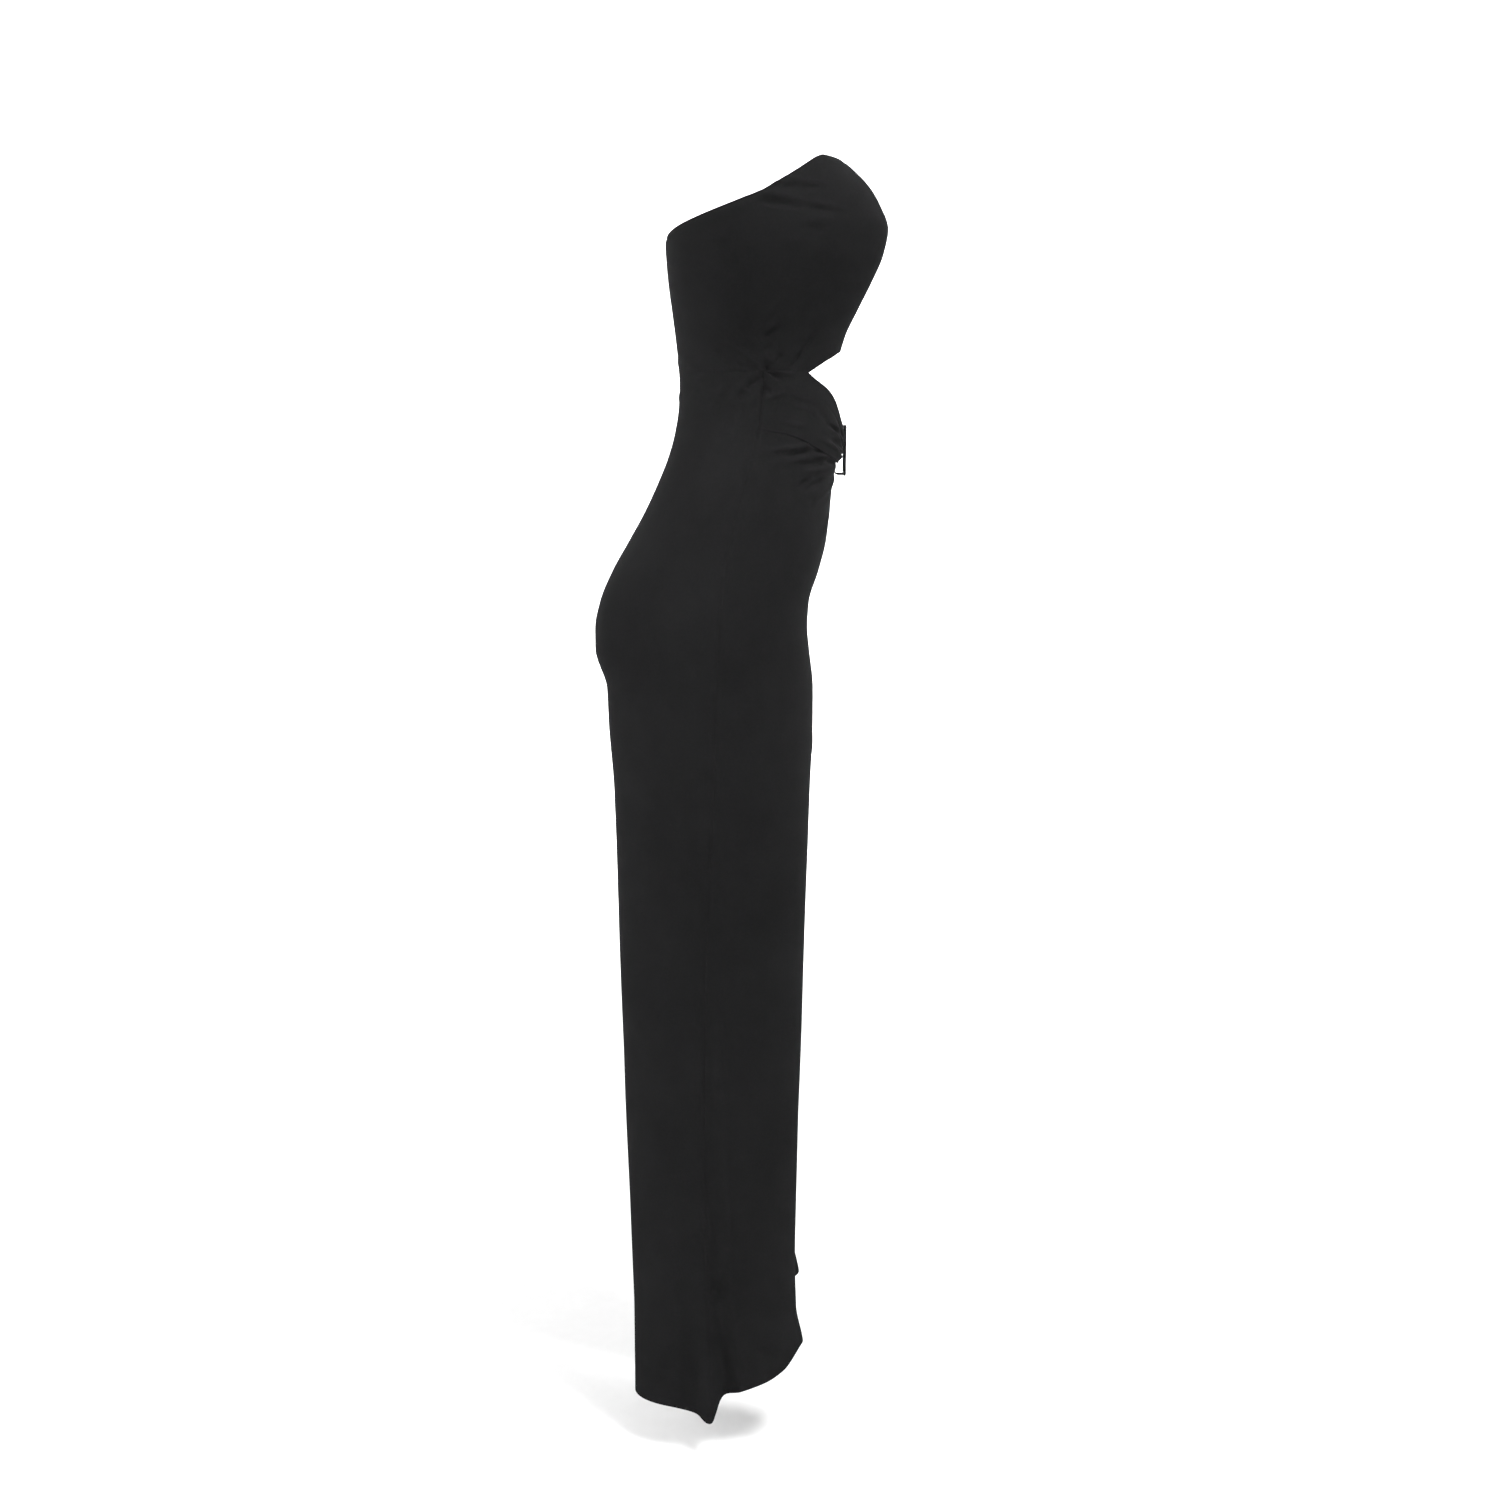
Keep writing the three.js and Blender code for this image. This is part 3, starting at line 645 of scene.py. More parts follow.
def outward(points, across, rows, hub):
    """The outward direction at each point of a grid."""
    along = np.gradient(points, across, axis=1, edge_order=2)
    down = np.gradient(points, rows.mean(1), axis=0, edge_order=2)
    normal = np.cross(along, down)
    normal /= np.linalg.norm(normal, axis=-1, keepdims=True)
    way = points - np.array([hub[0], hub[1], 0])
    way[..., 2] = 0
    return normal if (normal * way).sum() > 0 else -normal


def sheet_mesh(name, outer, normal, thickness, place):
    """A closed mesh from the outside grid. place holds its flat coordinates in mm."""
    rows, columns = outer.shape[:2]
    inner = outer - normal * thickness[..., None]
    rings = list(outer)
    flat = list(place)

    def fold(edge, back, beyond, spot):
        middle = (edge + back) / 2
        reach = (edge - back) / 2
        ahead = edge - beyond
        ahead /= np.linalg.norm(ahead, axis=-1, keepdims=True)
        half = np.linalg.norm(reach, axis=-1, keepdims=True)
        for turn in (45, 90, 135):
            a = math.radians(turn)
            rings.append(middle + reach * math.cos(a) + ahead * half * math.sin(a))
            flat.append(spot)

    fold(outer[-1], inner[-1], outer[-2], place[-1])
    rings.extend(inner[::-1])
    flat.extend(place[::-1])
    fold(inner[0], outer[0], inner[1], place[0])
    points = np.array(rings).reshape(-1, 3)
    spots = np.array(flat).reshape(-1, 2)
    count = len(rings)
    ring = np.arange(count)[:, None]
    column = np.arange(columns - 1)[None, :]
    after = (ring + 1) % count
    a = ring * columns + column
    b = after * columns + column
    quads = np.stack([a, b, b + 1, a + 1], -1).reshape(-1, 4)
    caps = []
    for side in (0, columns - 1):
        front = np.arange(rows) * columns + side
        back = (2 * rows + 2 - np.arange(rows)) * columns + side
        strip = np.stack([front[:-1], back[:-1], back[1:], front[1:]], -1)
        foot = [(rows - 1 + k) * columns + side for k in range(5)]
        head = [((2 * rows + 2 + k) % count) * columns + side for k in range(5)]
        caps.append((strip if side == 0 else strip[:, ::-1], foot, head, side == 0))
    faces = quads.tolist()
    for strip, foot, head, first in caps:
        faces += strip.tolist()
        faces += [foot[::-1] if first else foot, head[::-1] if first else head]
    volume = 0.0
    corner = points[quads]
    for k in (1, 2):
        cross = np.cross(corner[:, k], corner[:, k + 1])
        volume += (corner[:, 0] * cross).sum()
    if volume < 0:
        faces = [face[::-1] for face in faces]
    mesh = bpy.data.meshes.new(name)
    mesh.from_pydata((points * MM).tolist(), [], faces)
    mesh.polygons.foreach_set("use_smooth", np.ones(len(faces), bool))
    mesh.set_sharp_from_angle(angle=math.radians(55))
    layer = mesh.uv_layers.new(name="cloth_plane")
    loops = np.empty(len(mesh.loops), int)
    mesh.loops.foreach_get("vertex_index", loops)
    layer.uv.foreach_set("vector", (spots[loops] * MM).ravel())
    made = bpy.data.objects.new(name, mesh)
    bpy.context.collection.objects.link(made)
    return made


# %% [markdown]
# Stretch jersey is knitted: under a glass it shows upright columns of small loops. From a step
# away it is a soft, even black with a faint bloom at the edges of its folds, which a constant
# sheen gives. The loops are drawn from the flat coordinates of the cloth, so they follow it.

# %% Jersey
WALE = 0.9  # mm between the columns of loops
COURSE = 0.7

jersey = Finish("black_jersey_knit")
cloth_map = jersey.node("ShaderNodeUVMap", {"uv_map": "cloth_plane"})[0]
u, v, _ = jersey.node("ShaderNodeSeparateXYZ", {}, cloth_map)
u = u * 1000
v = v * 1000
column = u * (1 / WALE)
slant = (column - column.whole() - 0.5).size()
wale = (column * (2 * math.pi)).sine() * 0.5 + 0.5
loop = ((v * (1 / COURSE) + slant * 0.9) * (2 * math.pi)).sine() * 0.5 + 0.5
knit = wale * 0.6 + loop * 0.4
spot = jersey.node("ShaderNodeTexCoord")[3]
cloud = jersey.node("ShaderNodeTexNoise", {}, spot, Scale=9.0, Detail=3.0)[0]
speck = jersey.node("ShaderNodeTexNoise", {}, spot, Scale=420.0, Detail=2.0)[0]
worn = (cloud * 0.7 + speck * 0.3).within(0.3, 0.7)
shade = jersey.blend(worn, (0.009, 0.009, 0.0093, 1), (0.0125, 0.0125, 0.0129, 1))
relief = knit * 0.7 + speck * 0.3
bump = jersey.node("ShaderNodeBump", {}, Strength=0.25, Distance=0.0001, Height=relief)[0]
jersey.dress(
    Base_Color=shade,
    Roughness=0.8 + cloud * 0.12,
    Normal=bump,
    Specular_IOR_Level=0.008,
    Sheen_Weight=0.006,
    Sheen_Roughness=0.4,
    Sheen_Tint=(0.75, 0.76, 0.8, 1),
)
print("jersey", WALE, "mm between wales")


def dress_cloth(made, node):
    """Give a cloth piece its material and its place in the frame."""
    made.data.materials.append(jersey.material)
    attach(made, "root")
    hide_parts(node)
    made.data.calc_loop_triangles()
    print(made.name, len(made.data.loop_triangles), "triangles")


# %% [markdown]
# The bodice front is one piece from side seam to side seam. It is cut wide and stretched over
# the bust, so it is smooth there; short level creases gather under the arm and slanting ones
# run from the waist seam up towards the bust.

# %% Bodice
SEAM_DIP = 0.8
EDGE_ROLL = 1.6  # the top edge is drawn in by its elastic

BODICE_CREASES = (
    # across, z, to across, to z, half width, height at the start, at the end
    (0.46, 186, 0.4, 184, 4, -0.7, -0.5),
    (0.42, 178, 0.33, 174, 4.5, 0.9, 0.6),
    (0.46, 171, 0.39, 170, 4.5, -1.3, -1.1),
    (0.39, 170, 0.33, 171, 4, -1.1, -0.5),
    (0.475, 166, 0.38, 159, 4, 1.3, 1.2),
    (0.38, 158, 0.29, 154, 4.5, 1.2, 0.7),
    (0.48, 158, 0.39, 154, 4.5, -1.1, -1.3),
    (0.39, 154, 0.32, 150, 4.5, -1.0, -0.5),
    (0.39, 143, 0.3, 143, 6, 0.8, 0.5),
    (0.4, 135, 0.33, 135, 6, -0.7, -0.4),
    (0.45, 126, 0.36, 121, 7, 0.5, 0.3),
    (0.489, 39, 0.437, 51, 2.8, -2.3, -1.3),
    (0.484, 46, 0.44, 58, 4, 1.0, 0.5),
    (0.411, 14, 0.366, 31, 2.6, -2.9, -2.4),
    (0.368, 30, 0.322, 47, 3.0, -2.4, -0.9),
    (0.43, 16, 0.37, 41, 4, 1.0, 0.5),
    (0.392, 13, 0.34, 31, 3.6, 0.6, 0.3),
    (0.461, 19, 0.438, 27, 2.8, -1.7, -1.0),
    (0.494, 21, 0.46, 21, 3.2, 1.7, 0.9),
    (0.495, 29, 0.455, 36, 3.6, -0.9, -0.5),
    (0.497, 16, 0.482, 11, 3.0, -2.0, -1.5),
    (0.47, 60, 0.42, 78, 6, 0.7, 0.3),
    (0.38, 58, 0.33, 80, 8, -0.6, -0.3),
    (0.505, 34, 0.56, 50, 4, 1.1, 0.5),
    (0.51, 18, 0.6, 40, 4, 1.3, 0.5),
    (0.52, 13, 0.58, 22, 3.5, -1.3, -0.6),
    (0.56, 13, 0.66, 32, 5, 1.0, 0.4),
    (0.53, 130, 0.63, 124, 5, 0.9, 0.4),
    (0.54, 112, 0.7, 100, 6, 0.7, 0.3),
    (0.7, 16, 0.86, 30, 6, 0.9, 0.5),
    (0.88, 22, 0.99, 20, 5, 0.8, 0.6),
)


def crease_both(rows, across, from_side, z):
    """Small creases on both sides of the garment."""
    part = np.abs(across)
    right = fold_heights(vary_sides(rows, 1), part, from_side, z, True)
    left = fold_heights(vary_sides(rows, -1), part, from_side, z, True)
    return np.where(across >= 0, right, left)


def dip(distance, width=2.2, depth=SEAM_DIP):
    """Cloth is drawn in along a seam."""
    return -depth * np.exp(-((distance / width) ** 2))


def side_pucker(from_side, z):
    """The deep pucker where the band's upper corner is sewn into the side seam."""
    return -1.7 * np.exp(-((from_side / 2.8) ** 2) - ((z + 8) / 6.5) ** 2)


def bodice(name, turn, foot, width, pitch):
    shares = marks(width, pitch)
    offset = (2 * shares - 1) * 0.5001
    part = np.abs(turn - np.abs(offset))
    across = np.where(offset < 0, -part, part)
    low = foot(part)
    z = heights(top_edge(part), low, ((170 if turn == 0 else 130, pitch),))
    grid = np.broadcast_to(across, z.shape)
    points, from_side, from_middle = locate(grid, z)
    hub = (0, 10)
    normal = outward(points, offset, z, hub)
    sewn = (part > CUTOUT_APEX) | (turn == 1)
    height = crease_both(BODICE_CREASES, grid, from_side, z)
    waves = ripple(np.where(grid < 0, 300, 0) + from_side, z, 60, 11 + turn)
    height += 0.25 * waves * smooth((z - WAIST_SEAM) / 12)
    height += np.where(sewn, dip(z - low, 1.2, 0.15), 0)
    height -= EDGE_ROLL * smooth(1 - (top_edge(part) - z) / 7) ** 1.5
    outer = points + normal * height[..., None]
    normal = outward(outer, offset, z, hub)
    turned = smooth((12 - (top_edge(part) - z)) / 1.5)
    if turn == 0:
        turned = np.maximum(turned, np.where(sewn, 0, smooth((9 - (z - low)) / 1.5)))
    thickness = CLOTH + 0.7 * turned
    place = np.stack([np.sign(grid) * from_middle, z], -1)
    return sheet_mesh(name, outer, normal, thickness, place)


def front_foot(part):
    return np.where(part < CUTOUT_APEX, cutout_top(part) + 0.15, WAIST_SEAM - 0.3)


def waist_foot(part):
    return np.full_like(part, WAIST_SEAM - 0.3)


bodice_front = bodice("jersey_bodice_front", 0, front_foot, 464, 1.7)
dress_cloth(bodice_front, "bodice_front")
bodice_back = bodice("jersey_bodice_back", 1, waist_foot, 356, 2.0)
dress_cloth(bodice_back, "bodice_back")

# %% [markdown]
# The band is a tapering strip that runs from both side seams to the buckle. The buckle draws
# it together, so its cloth gathers into uneven pleats that spread and fade towards the sides.

# %% Front band
BAND_LIFT = 1.95  # how far it stands off the trouser fronts
BAND_SEAM_LIFT = 0.9  # less at the side seam, where its edge tucks under the back piece
BAND_HUG = 0.75  # less at its foot, away from the buckle
BAND_RISE = 3.7  # more over the centre bar of the buckle

BAND_GATHERS = (
    # level, half width in levels, height, reach across
    (0.14, 0.13, 1.7, 0.36),
    (0.37, 0.12, 1.3, 0.27),
    (0.6, 0.12, 1.6, 0.31),
    (0.84, 0.12, 1.1, 0.22),
)
FINE_GATHERS = (
    (0.06, 0.05, -0.6, 0.3),
    (0.25, 0.055, -1.6, 0.34),
    (0.32, 0.04, 0.7, 0.22),
    (0.41, 0.045, -0.9, 0.24),
    (0.48, 0.05, -1.5, 0.3),
    (0.54, 0.04, 0.6, 0.2),
    (0.66, 0.045, -0.7, 0.24),
    (0.72, 0.05, -1.3, 0.32),
    (0.78, 0.035, 0.6, 0.2),
    (0.93, 0.04, -0.6, 0.24),
)
BAND_CREASES = (
    (0.488, 12, 0.445, 3, 3.2, -2.4, -1.2),
    (0.47, 12, 0.4, 8, 3.5, 1.1, 0.5),
    (0.49, -3, 0.478, -12, 3.0, -1.2, -0.5),
    (0.49, -14, 0.43, -8, 4, 0.8, 0.4),
    (0.42, -14, 0.33, -22, 5, -0.6, -0.7),
    (0.38, -18, 0.28, -32, 5, 0.7, 0.7),
    (0.33, -24, 0.25, -36, 4.5, -0.8, -0.9),
    (0.44, -34, 0.35, -40, 4, 0.7, 0.5),
    (0.28, -36, 0.12, -49, 3.6, -1.2, -2.2),
    (0.25, -42, 0.12, -55, 3.4, 1.0, 1.6),
    (0.235, -51, 0.11, -61, 3.6, -1.6, -3.0),
    (0.3, -50, 0.15, -64, 3.6, 0.8, 1.4),
)


def gather_heights(rows, part, level):
    """Pleats that are pressed flat behind the frame of the buckle and fade to the sides."""
    height = np.zeros_like(level)
    for centre, width, rise_mm, reach in rows:
        away = np.minimum(np.abs(level - centre) / width, 1)
        height += rise_mm * (1 - away**2) ** 2 * smooth(1 - part / reach)
    return height * smooth((part - 0.052) / 0.048)


def band_height(part, z, level, from_side):
    toward = smooth((0.28 - part) / 0.23)
    settled = smooth((WAIST_SEAM + 1 - z) / 22)
    puff = 0.8 * smooth(1 - part / 0.036)
    roll = 2.9 * smooth(1 - level / 0.26) * toward
    hug = BAND_HUG * smooth(1 - level / 0.3) * (1 - toward)
    beside = BAND_SEAM_LIFT - BAND_LIFT
    lift = BAND_LIFT + beside * smooth(1 - np.abs(from_side) / 15)
    tucked = np.clip(from_side / 0.9, 0, 1)
    return settled * (lift + BAND_RISE * toward - hug) + puff - roll - tucked


def front_band():
    shares = marks(340, 1.4)
    offset = np.sign(2 * shares - 1) * np.abs(2 * shares - 1) ** 1.15 * 0.5016
    part = np.abs(offset)
    low = band_foot(part)
    high = np.where(part < CUTOUT_APEX, cutout_foot(part) - 0.15, WAIST_SEAM + 0.3)
    z = heights(high, low, ((80, 1.4),))
    grid = np.broadcast_to(offset, z.shape)
    points, from_side, from_middle = locate(grid, z)
    normal = outward(points, offset, z, (0, 10))
    level = (z - low) / (high - low)
    wide = np.abs(grid)
    height = band_height(wide, z, level, from_side)
    height += gather_heights(BAND_GATHERS, wide, level)
    height += gather_heights(FINE_GATHERS, wide, level)
    height += crease_both(BAND_CREASES, grid, from_side, z)
    height += dip(from_side, 2.0, 0.8) * smooth((8 - z) / 6) + side_pucker(from_side, z)
    height += np.where(wide > CUTOUT_APEX, dip(high - z, 1.2, 0.15), 0)
    outer = points + normal * height[..., None]
    normal = outward(outer, offset, z, (0, 10))
    thickness = 0.8 + 0.45 * smooth(level / 0.3)
    place = np.stack([np.sign(grid) * from_middle, z], -1)
    return sheet_mesh("jersey_front_band", outer, normal, thickness, place)


band = front_band()
dress_cloth(band, "front_band")

# %% [markdown]
# The trousers are four pieces, a front and a back for each leg, cut wide at the hip and
# hanging nearly straight to a slanting hem. Pleats fan out below the band, a long valley runs
# down in front of the side seam, and a deep fold stands out at the hem.

# %% Trousers
TROUSER_FOLDS = (
    (0.5, -1116, 0.5, -985, 17, 13, 0),
    (0.462, -1105, 0.47, -960, 17, -5, -3),
    (0.47, -960, 0.488, -620, 15, -3, -1.5),
    (0.545, -1105, 0.54, -900, 20, -3.5, -1),
    (0.27, -56, 0.46, -61.5, 7, 1.8, 0.6),
    (0.19, -67, 0.43, -73.5, 7.5, 2.3, 0.6),
    (0.15, -79, 0.36, -87, 8, 2, 0.5),
    (0.12, -92, 0.28, -108, 9, 1.6, 0.5),
    (0.33, -1030, 0.43, -1000, 18, 1.6, 0.5),
    (0.66, -1050, 0.57, -1000, 20, 2, 0.6),
    (0.66, -640, 0.57, -600, 20, 1.6, 0.5),
    (0.1, -385, 0.19, -355, 16, 2.5, 0.8),
)
TROUSER_CREASES = (
    # across, z, to across, to z, half width, height at the start, at the end
    (0.45, -61, 0.363, -58, 3.2, 1.7, 2.04),
    (0.37, -57.5, 0.31, -55, 3, 1.7, 1.02),
    (0.404, -66.5, 0.318, -60.5, 3, -2.21, -2.38),
    (0.32, -60.5, 0.25, -63, 3, -2.38, -1.87),
    (0.41, -72.5, 0.314, -66.5, 3.2, 1.53, 2.38),
    (0.32, -66.5, 0.225, -67.5, 3, 2.38, 2.04),
    (0.356, -75, 0.25, -70.5, 3.4, -1.53, -2.55),
    (0.26, -70.5, 0.17, -75, 3.4, -2.38, -1.7),
    (0.35, -82, 0.23, -78, 4, 1.19, 1.53),
    (0.353, -96, 0.302, -87, 4, -1.53, -1.87),
    (0.302, -87, 0.22, -80, 4, -1.87, -1.36),
    (0.32, -99, 0.24, -89, 4.5, -1.36, -1.53),
    (0.33, -104, 0.2, -95, 6, 1.19, 1.02),
    (0.28, -116, 0.16, -104, 6, -0.85, -1.36),
    (0.22, -150, 0.12, -120, 9, 0.85, 1.53),
    (0.512, 6, 0.548, -5, 3.6, -1.9, -1.3),
    (0.552, -6, 0.566, -16, 4.5, -1.4, -1.2),
    (0.566, -15, 0.557, -36, 6, -1.3, -0.7),
    (0.53, 8, 0.6, -12, 5, 1.3, 0.7),
    (0.52, -9, 0.54, -26, 5, 1.0, 0.5),
    (0.6, 4, 0.68, -22, 6, 0.9, 0.4),
    (0.7, 0, 0.8, -20, 7, 0.8, 0.4),
    (0.55, -40, 0.64, -70, 8, 0.8, 0.4),
    (0.85, -8, 0.97, -14, 6, 0.8, 0.6),
    (0.53, -90, 0.6, -130, 10, 0.6, 0.2),
    (0.45, -330, 0.3, -362, 14, 0.9, 0.4),
    (0.06, -372, 0.2, -340, 9, 1.0, 0.4),
    (0.05, -400, 0.19, -372, 10, -0.9, -0.4),
    (0.95, -395, 0.84, -372, 12, 1.0, 0.5),
    (0.95, -425, 0.84, -405, 12, -0.8, -0.4),
    (0.42, -560, 0.33, -600, 18, 0.9, 0.4),
    (0.34, -700, 0.42, -730, 18, 0.8, 0.4),
    (0.62, -820, 0.69, -850, 18, 1.0, 0.5),
    (0.56, -930, 0.66, -905, 18, 1.1, 0.6),
    (0.4, -900, 0.31, -880, 20, 0.9, 0.5),
    (0.31, -1040, 0.4, -1025, 12, 1.1, 0.6),
    (0.4, -1072, 0.44, -1000, 9, 1.2, 0.3),
    (0.58, -1085, 0.67, -1060, 14, 1.2, 0.6),
    (0.88, -1070, 0.8, -1035, 12, 1.0, 0.5),
)
FOLD_FREED = 5  # the band presses the cloth flat; folds come out below it
LEVEL_RISE = 0.95  # at the sides the cloth below it is level with it
GARMENT_LENGTHS = ((70, 1.3), (230, 3.4), (560, 6), (240, 4))


def trouser(name, hand, behind):
    start = 0.5 if behind else 0
    shares = 1e-6 + (1 - 2e-6) * marks(265, 2.7)
    part = start + (0.5 if behind else 0.5015) * shares
    across = hand * part
    high = np.full_like(part, WAIST_SEAM + 0.3) if behind else band_foot(part) + LAP
    low = hem(part)
    z = heights(high, low, GARMENT_LENGTHS)
    grid = np.broadcast_to(across, z.shape)
    wide = np.abs(grid)
    points, from_side, from_middle = locate(grid, z)
    hub = (-85 * hand, 45)
    normal = outward(points, across, z, hub)
    height = fold_heights(TROUSER_FOLDS, wide, from_side, z, False)
    height += fold_heights(vary_sides(TROUSER_CREASES, hand), wide, from_side, z, True)
    if not behind:
        below = band_foot(part) + 0.5 - z
        height *= smooth((below + 0.5) / FOLD_FREED)
        beside = smooth((part - 0.3) / 0.14)
        height += LEVEL_RISE * beside * smooth(below / 1.5) * smooth(1 - below / 16)
        height -= 0.7 * np.clip(from_side / 0.8, 0, 1)
    calm = smooth(from_middle / 30) * smooth((-60 - z) / 80)
    height += ripple(from_side, z, 120, 31 if hand > 0 else 32) * 0.8 * calm
    height += ripple(from_side, z, 45, 41 if hand > 0 else 42) * 0.2 * calm
    upper = smooth((z + 60) / 12)
    height += dip(from_side, 2.0, 0.35 + 0.45 * upper) + dip(from_middle)
    if behind:
        height += dip(high - z, 1.2, 0.15) + side_pucker(from_side, z)
    outer = points + normal * height[..., None]
    normal = outward(outer, across, z, hub)
    thickness = CLOTH + 0.7 * smooth((20 - (z - low)) / 1.5)
    place = np.stack([hand * (300 + from_side), z], -1)
    return sheet_mesh(name, outer, normal, thickness, place)


for node, hand, behind in (
    ("front_leg_right", 1, False),
    ("front_leg_left", -1, False),
    ("back_leg_right", 1, True),
    ("back_leg_left", -1, True),
):
    leg = trouser("jersey_" + node, hand, behind)
    if behind:
        dress_cloth(leg, node)
    else:
        dress_cloth(leg, node)

# %% [markdown]
# The buckle is a small rounded frame of dark metal. Its front is set with a row of clear stones
# and a flat bar behind it carries the band. A closed outline is swept round the frame, which
# keeps the corners even.

# %% Buckle frame
BUCKLE_TOP = -38
BUCKLE_FOOT = -89
BUCKLE_WIDTH = 32
BUCKLE_FACE = 4
BUCKLE_BACK = 86.3
BUCKLE_DEPTH = 1.8

CENTRE_BAR = (
    # distance forward, height, thickness
    (86.8, -40.2, 1),
    (83.2, -40.1, 1),
    (81.2, -40.8, 1),
    (80.3, -42.6, 1),
    (79.6, -56, 1),
    (78.8, -70, 1),
    (77.8, -82, 1),
    (77.6, -84.4, 1.2),
    (78.4, -86.4, 1.8),
    (80.6, -87.1, 2.6),
    (86.8, -87.1, 2.6),
)


def frame_line(width, height, radius, count):
    """Points and outward directions, evenly spaced round a rounded rectangle."""
    corners = []
    for turn in range(4):
        centre = np.array([width / 2 - radius, height / 2 - radius])
        centre *= [(1, 1), (-1, 1), (-1, -1), (1, -1)][turn]
        for a in np.linspace(turn * 90, turn * 90 + 90, 24):
            way = np.array([math.cos(math.radians(a)), math.sin(math.radians(a))])
            corners.append((*(centre + radius * way), *way))
    line = np.array(corners)
    line = np.vstack([line, line[:1]])
    walked = np.concatenate([[0], np.cumsum(np.hypot(*np.diff(line[:, :2], axis=0).T))])
    at = np.arange(count) * walked[-1] / count
    return np.stack([np.interp(at, walked, line[:, k]) for k in range(4)], -1), walked[-1]


def rounded_profile(width, depth, radius, steps=5):
    """A rounded rectangle as (across the bar, depth) points."""
    points = []
    for turn, (sx, sy) in enumerate(((1, 1), (-1, 1), (-1, -1), (1, -1))):
        for a in np.linspace(turn * 90, turn * 90 + 90, steps):
            points.append(
                (
                    sx * (width / 2 - radius) + radius * math.cos(math.radians(a)),
                    sy * (depth / 2 - radius) + radius * math.sin(math.radians(a)),
                )
            )
    return np.array(points)


def swept_faces(rings, size, closed):
    faces = []
    for r in range(rings if closed else rings - 1):
        n = (r + 1) % rings
        for k in range(size):
            m = (k + 1) % size
            faces.append((r * size + k, n * size + k, n * size + m, r * size + m))
    if not closed:
        faces.append(tuple(range(size)))
        faces.append(tuple((rings - 1) * size + k for k in reversed(range(size))))
    return faces


def buckle_frame():
    middle = (BUCKLE_TOP + BUCKLE_FOOT) / 2
    height = BUCKLE_TOP - BUCKLE_FOOT - BUCKLE_FACE
    line, _ = frame_line(BUCKLE_WIDTH - BUCKLE_FACE, height, 4, 160)
    profile = rounded_profile(BUCKLE_FACE, BUCKLE_DEPTH, 0.7)
    points = []
    for x, z, out_x, out_z in line:
        for across, depth in profile:
            forward = BUCKLE_BACK + BUCKLE_DEPTH / 2 + depth
            points.append((x + across * out_x, -forward, middle + z + across * out_z))
    faces = swept_faces(len(line), len(profile), True)
    bar = rounded_profile(3.2, 1.0, 0.4)
    start = len(points)
    spots = np.array(CENTRE_BAR, float)
    ways = np.gradient(spots[:, :2], axis=0)
    ways /= np.linalg.norm(ways, axis=1, keepdims=True)
    for (forward, z, thick), (way_f, way_z) in zip(spots, ways):
        for x, depth in bar * (1, thick):
            points.append((x, -(forward - way_z * depth), z + way_f * depth))
    faces += [tuple(start + k for k in f) for f in swept_faces(len(spots), len(bar), False)]
    mesh = bpy.data.meshes.new("buckle_frame")
    mesh.from_pydata((np.array(points) * MM).tolist(), [], faces)
    mesh.polygons.foreach_set("use_smooth", np.ones(len(faces), bool))
    mesh.set_sharp_from_angle(angle=math.radians(50))
    made = bpy.data.objects.new("buckle_frame", mesh)
    bpy.context.collection.objects.link(made)
    return made


buckle = buckle_frame()
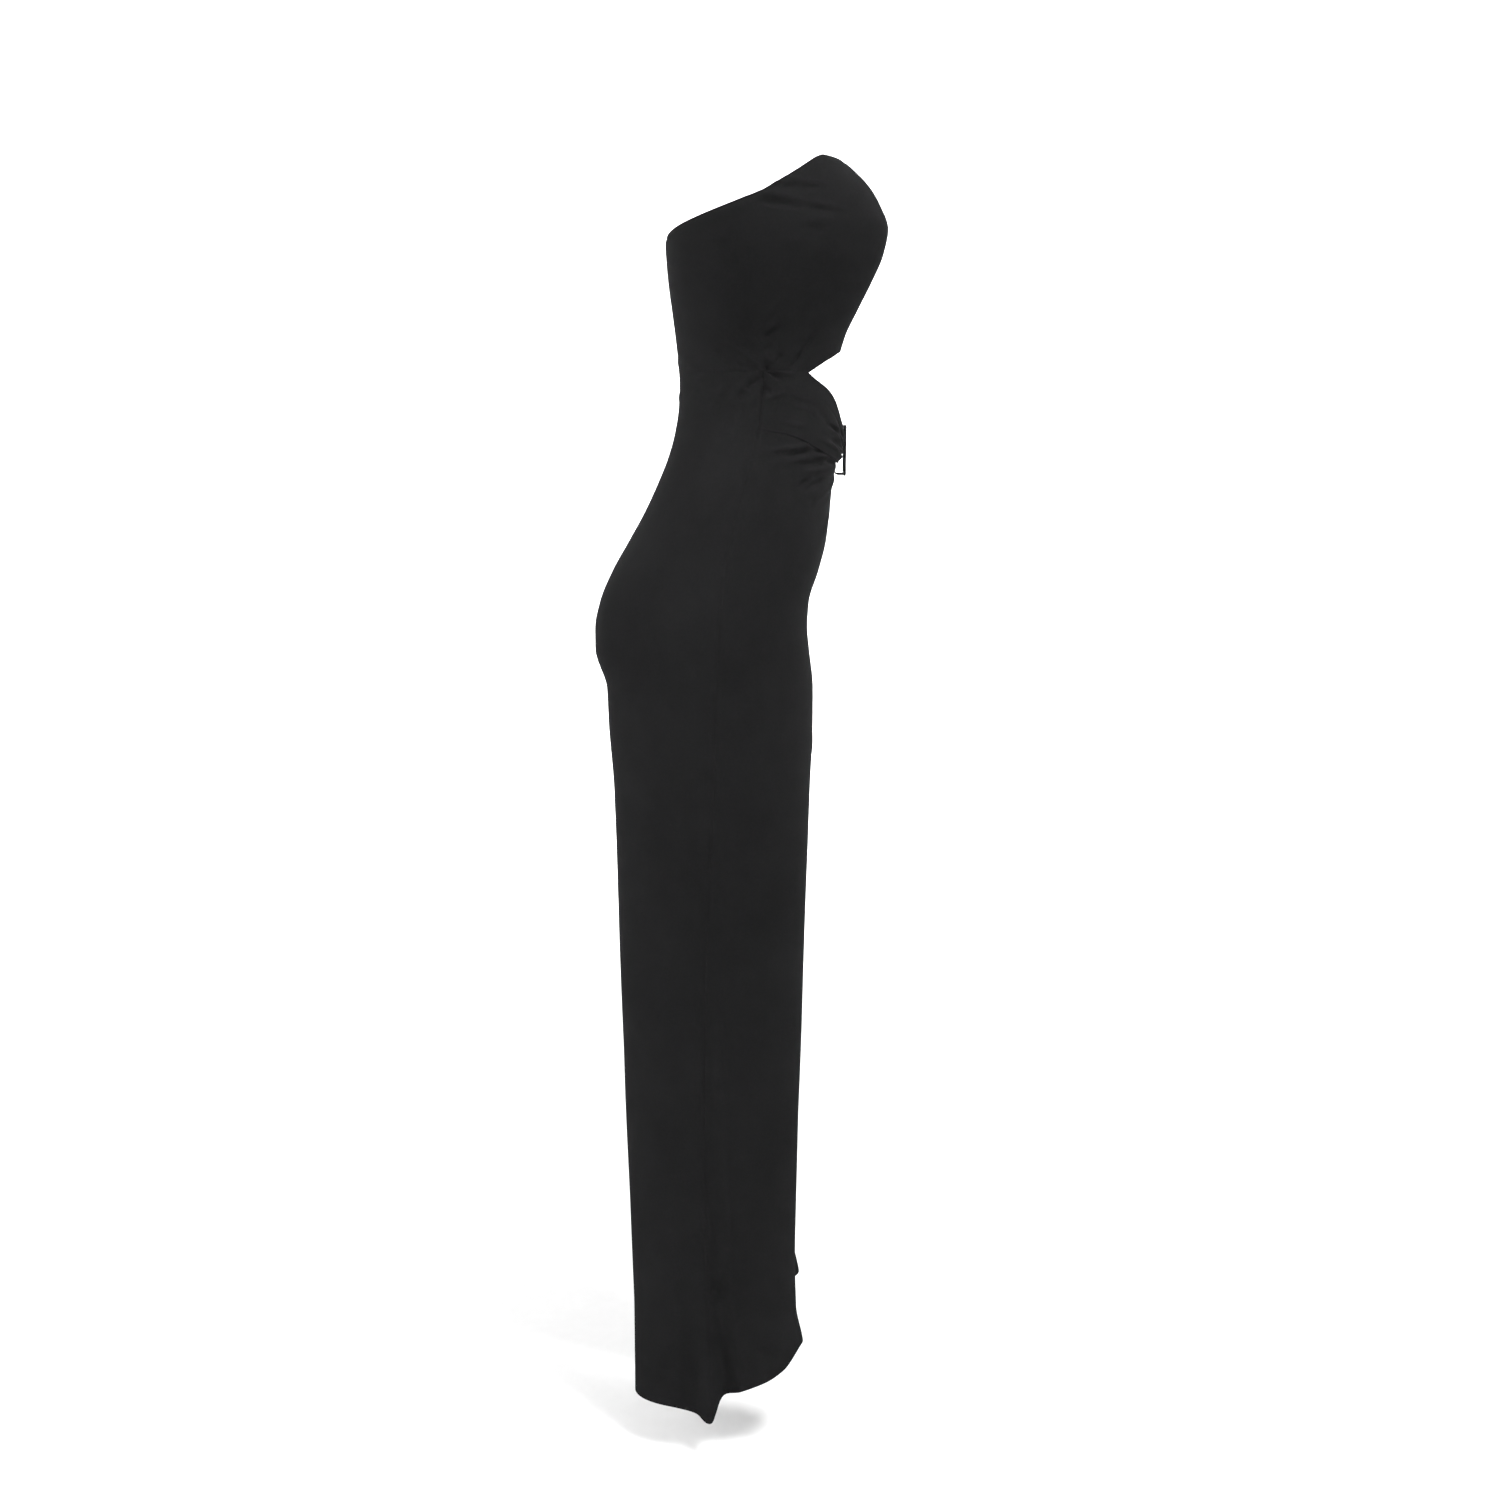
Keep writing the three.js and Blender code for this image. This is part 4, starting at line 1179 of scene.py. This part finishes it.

# %% [markdown]
# Dark plated metal has a soft, cloudy polish. The stones are small cut domes of clear glass.

# %% Metal and stones
metal = Finish("dark_plated_metal")
place = metal.node("ShaderNodeTexCoord")[3]
polish = metal.node("ShaderNodeTexNoise", {}, place, Scale=600.0, Detail=4.0)[0]
scuff = metal.node("ShaderNodeTexNoise", {}, place, Scale=3000.0, Detail=2.0)[0]
metal.dress(
    Base_Color=metal.blend(polish.within(0.35, 0.65), (0.012, 0.012, 0.013, 1), (0.03, 0.03, 0.032, 1)),
    Metallic=1.0,
    Roughness=0.3 + polish * 0.2,
    Specular_Tint=(0.12, 0.12, 0.13, 1),
    Normal=metal.node("ShaderNodeBump", {}, Strength=0.1, Distance=0.00003, Height=scuff)[0],
)
buckle.data.materials.append(metal.material)
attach(buckle, "root")
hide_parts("buckle")

glass = Finish("clear_cut_stone")
# The base colour is specked dark and bright at random. These are painted glints that stand in for the
# flashes of the cut faces, on top of the real reflections of the domes.
painted_glint_specks = glass.node("ShaderNodeTexNoise", {}, Scale=1500.0, Detail=1.0)[0]
glass.dress(
    Base_Color=glass.blend(painted_glint_specks.within(0.35, 0.65), (0.03, 0.03, 0.035, 1), (0.3, 0.31, 0.33, 1)),
    Metallic=0.55,
    Roughness=0.08 + painted_glint_specks * 0.1,
    Specular_IOR_Level=0.9,
)

STONE = 0.95  # radius
STONE_PITCH = 2.45


def buckle_stones():
    middle = (BUCKLE_TOP + BUCKLE_FOOT) / 2
    size = (BUCKLE_WIDTH - BUCKLE_FACE, BUCKLE_TOP - BUCKLE_FOOT - BUCKLE_FACE)
    whole = frame_line(*size, 4, 8)[1]
    count = round(whole / STONE_PITCH)
    line, _ = frame_line(*size, 4, count)
    face = BUCKLE_BACK + BUCKLE_DEPTH
    points = []
    faces = []
    rings = ((1.0, -0.15), (1.0, 0.12), (0.82, 0.42), (0.5, 0.62))
    for number, (x, z, _, _) in enumerate(line):
        start = len(points)
        twist = 0.6 * number
        for k, (share, rise_mm) in enumerate(rings):
            for corner in range(8):
                a = twist + (corner + 0.5 * (k == 2)) * math.pi / 4
                spot_x = x + STONE * share * math.cos(a)
                spot_z = middle + z + STONE * share * math.sin(a)
                points.append((spot_x, -(face + rise_mm), spot_z))
        for k in range(3):
            for corner in range(8):
                n = (corner + 1) % 8
                a, b = start + 8 * k, start + 8 * k + 8
                faces.append((a + corner, a + n, b + n, b + corner))
        faces.append(tuple(start + 24 + c for c in range(8)))
        faces.append(tuple(start + c for c in reversed(range(8))))
    mesh = bpy.data.meshes.new("buckle_stones")
    mesh.from_pydata((np.array(points) * MM).tolist(), [], faces)
    made = bpy.data.objects.new("buckle_stones", mesh)
    bpy.context.collection.objects.link(made)
    return made, count


stones, stone_count = buckle_stones()
stones.data.materials.append(glass.material)
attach(stones, "root")
print("stones on the buckle", stone_count)
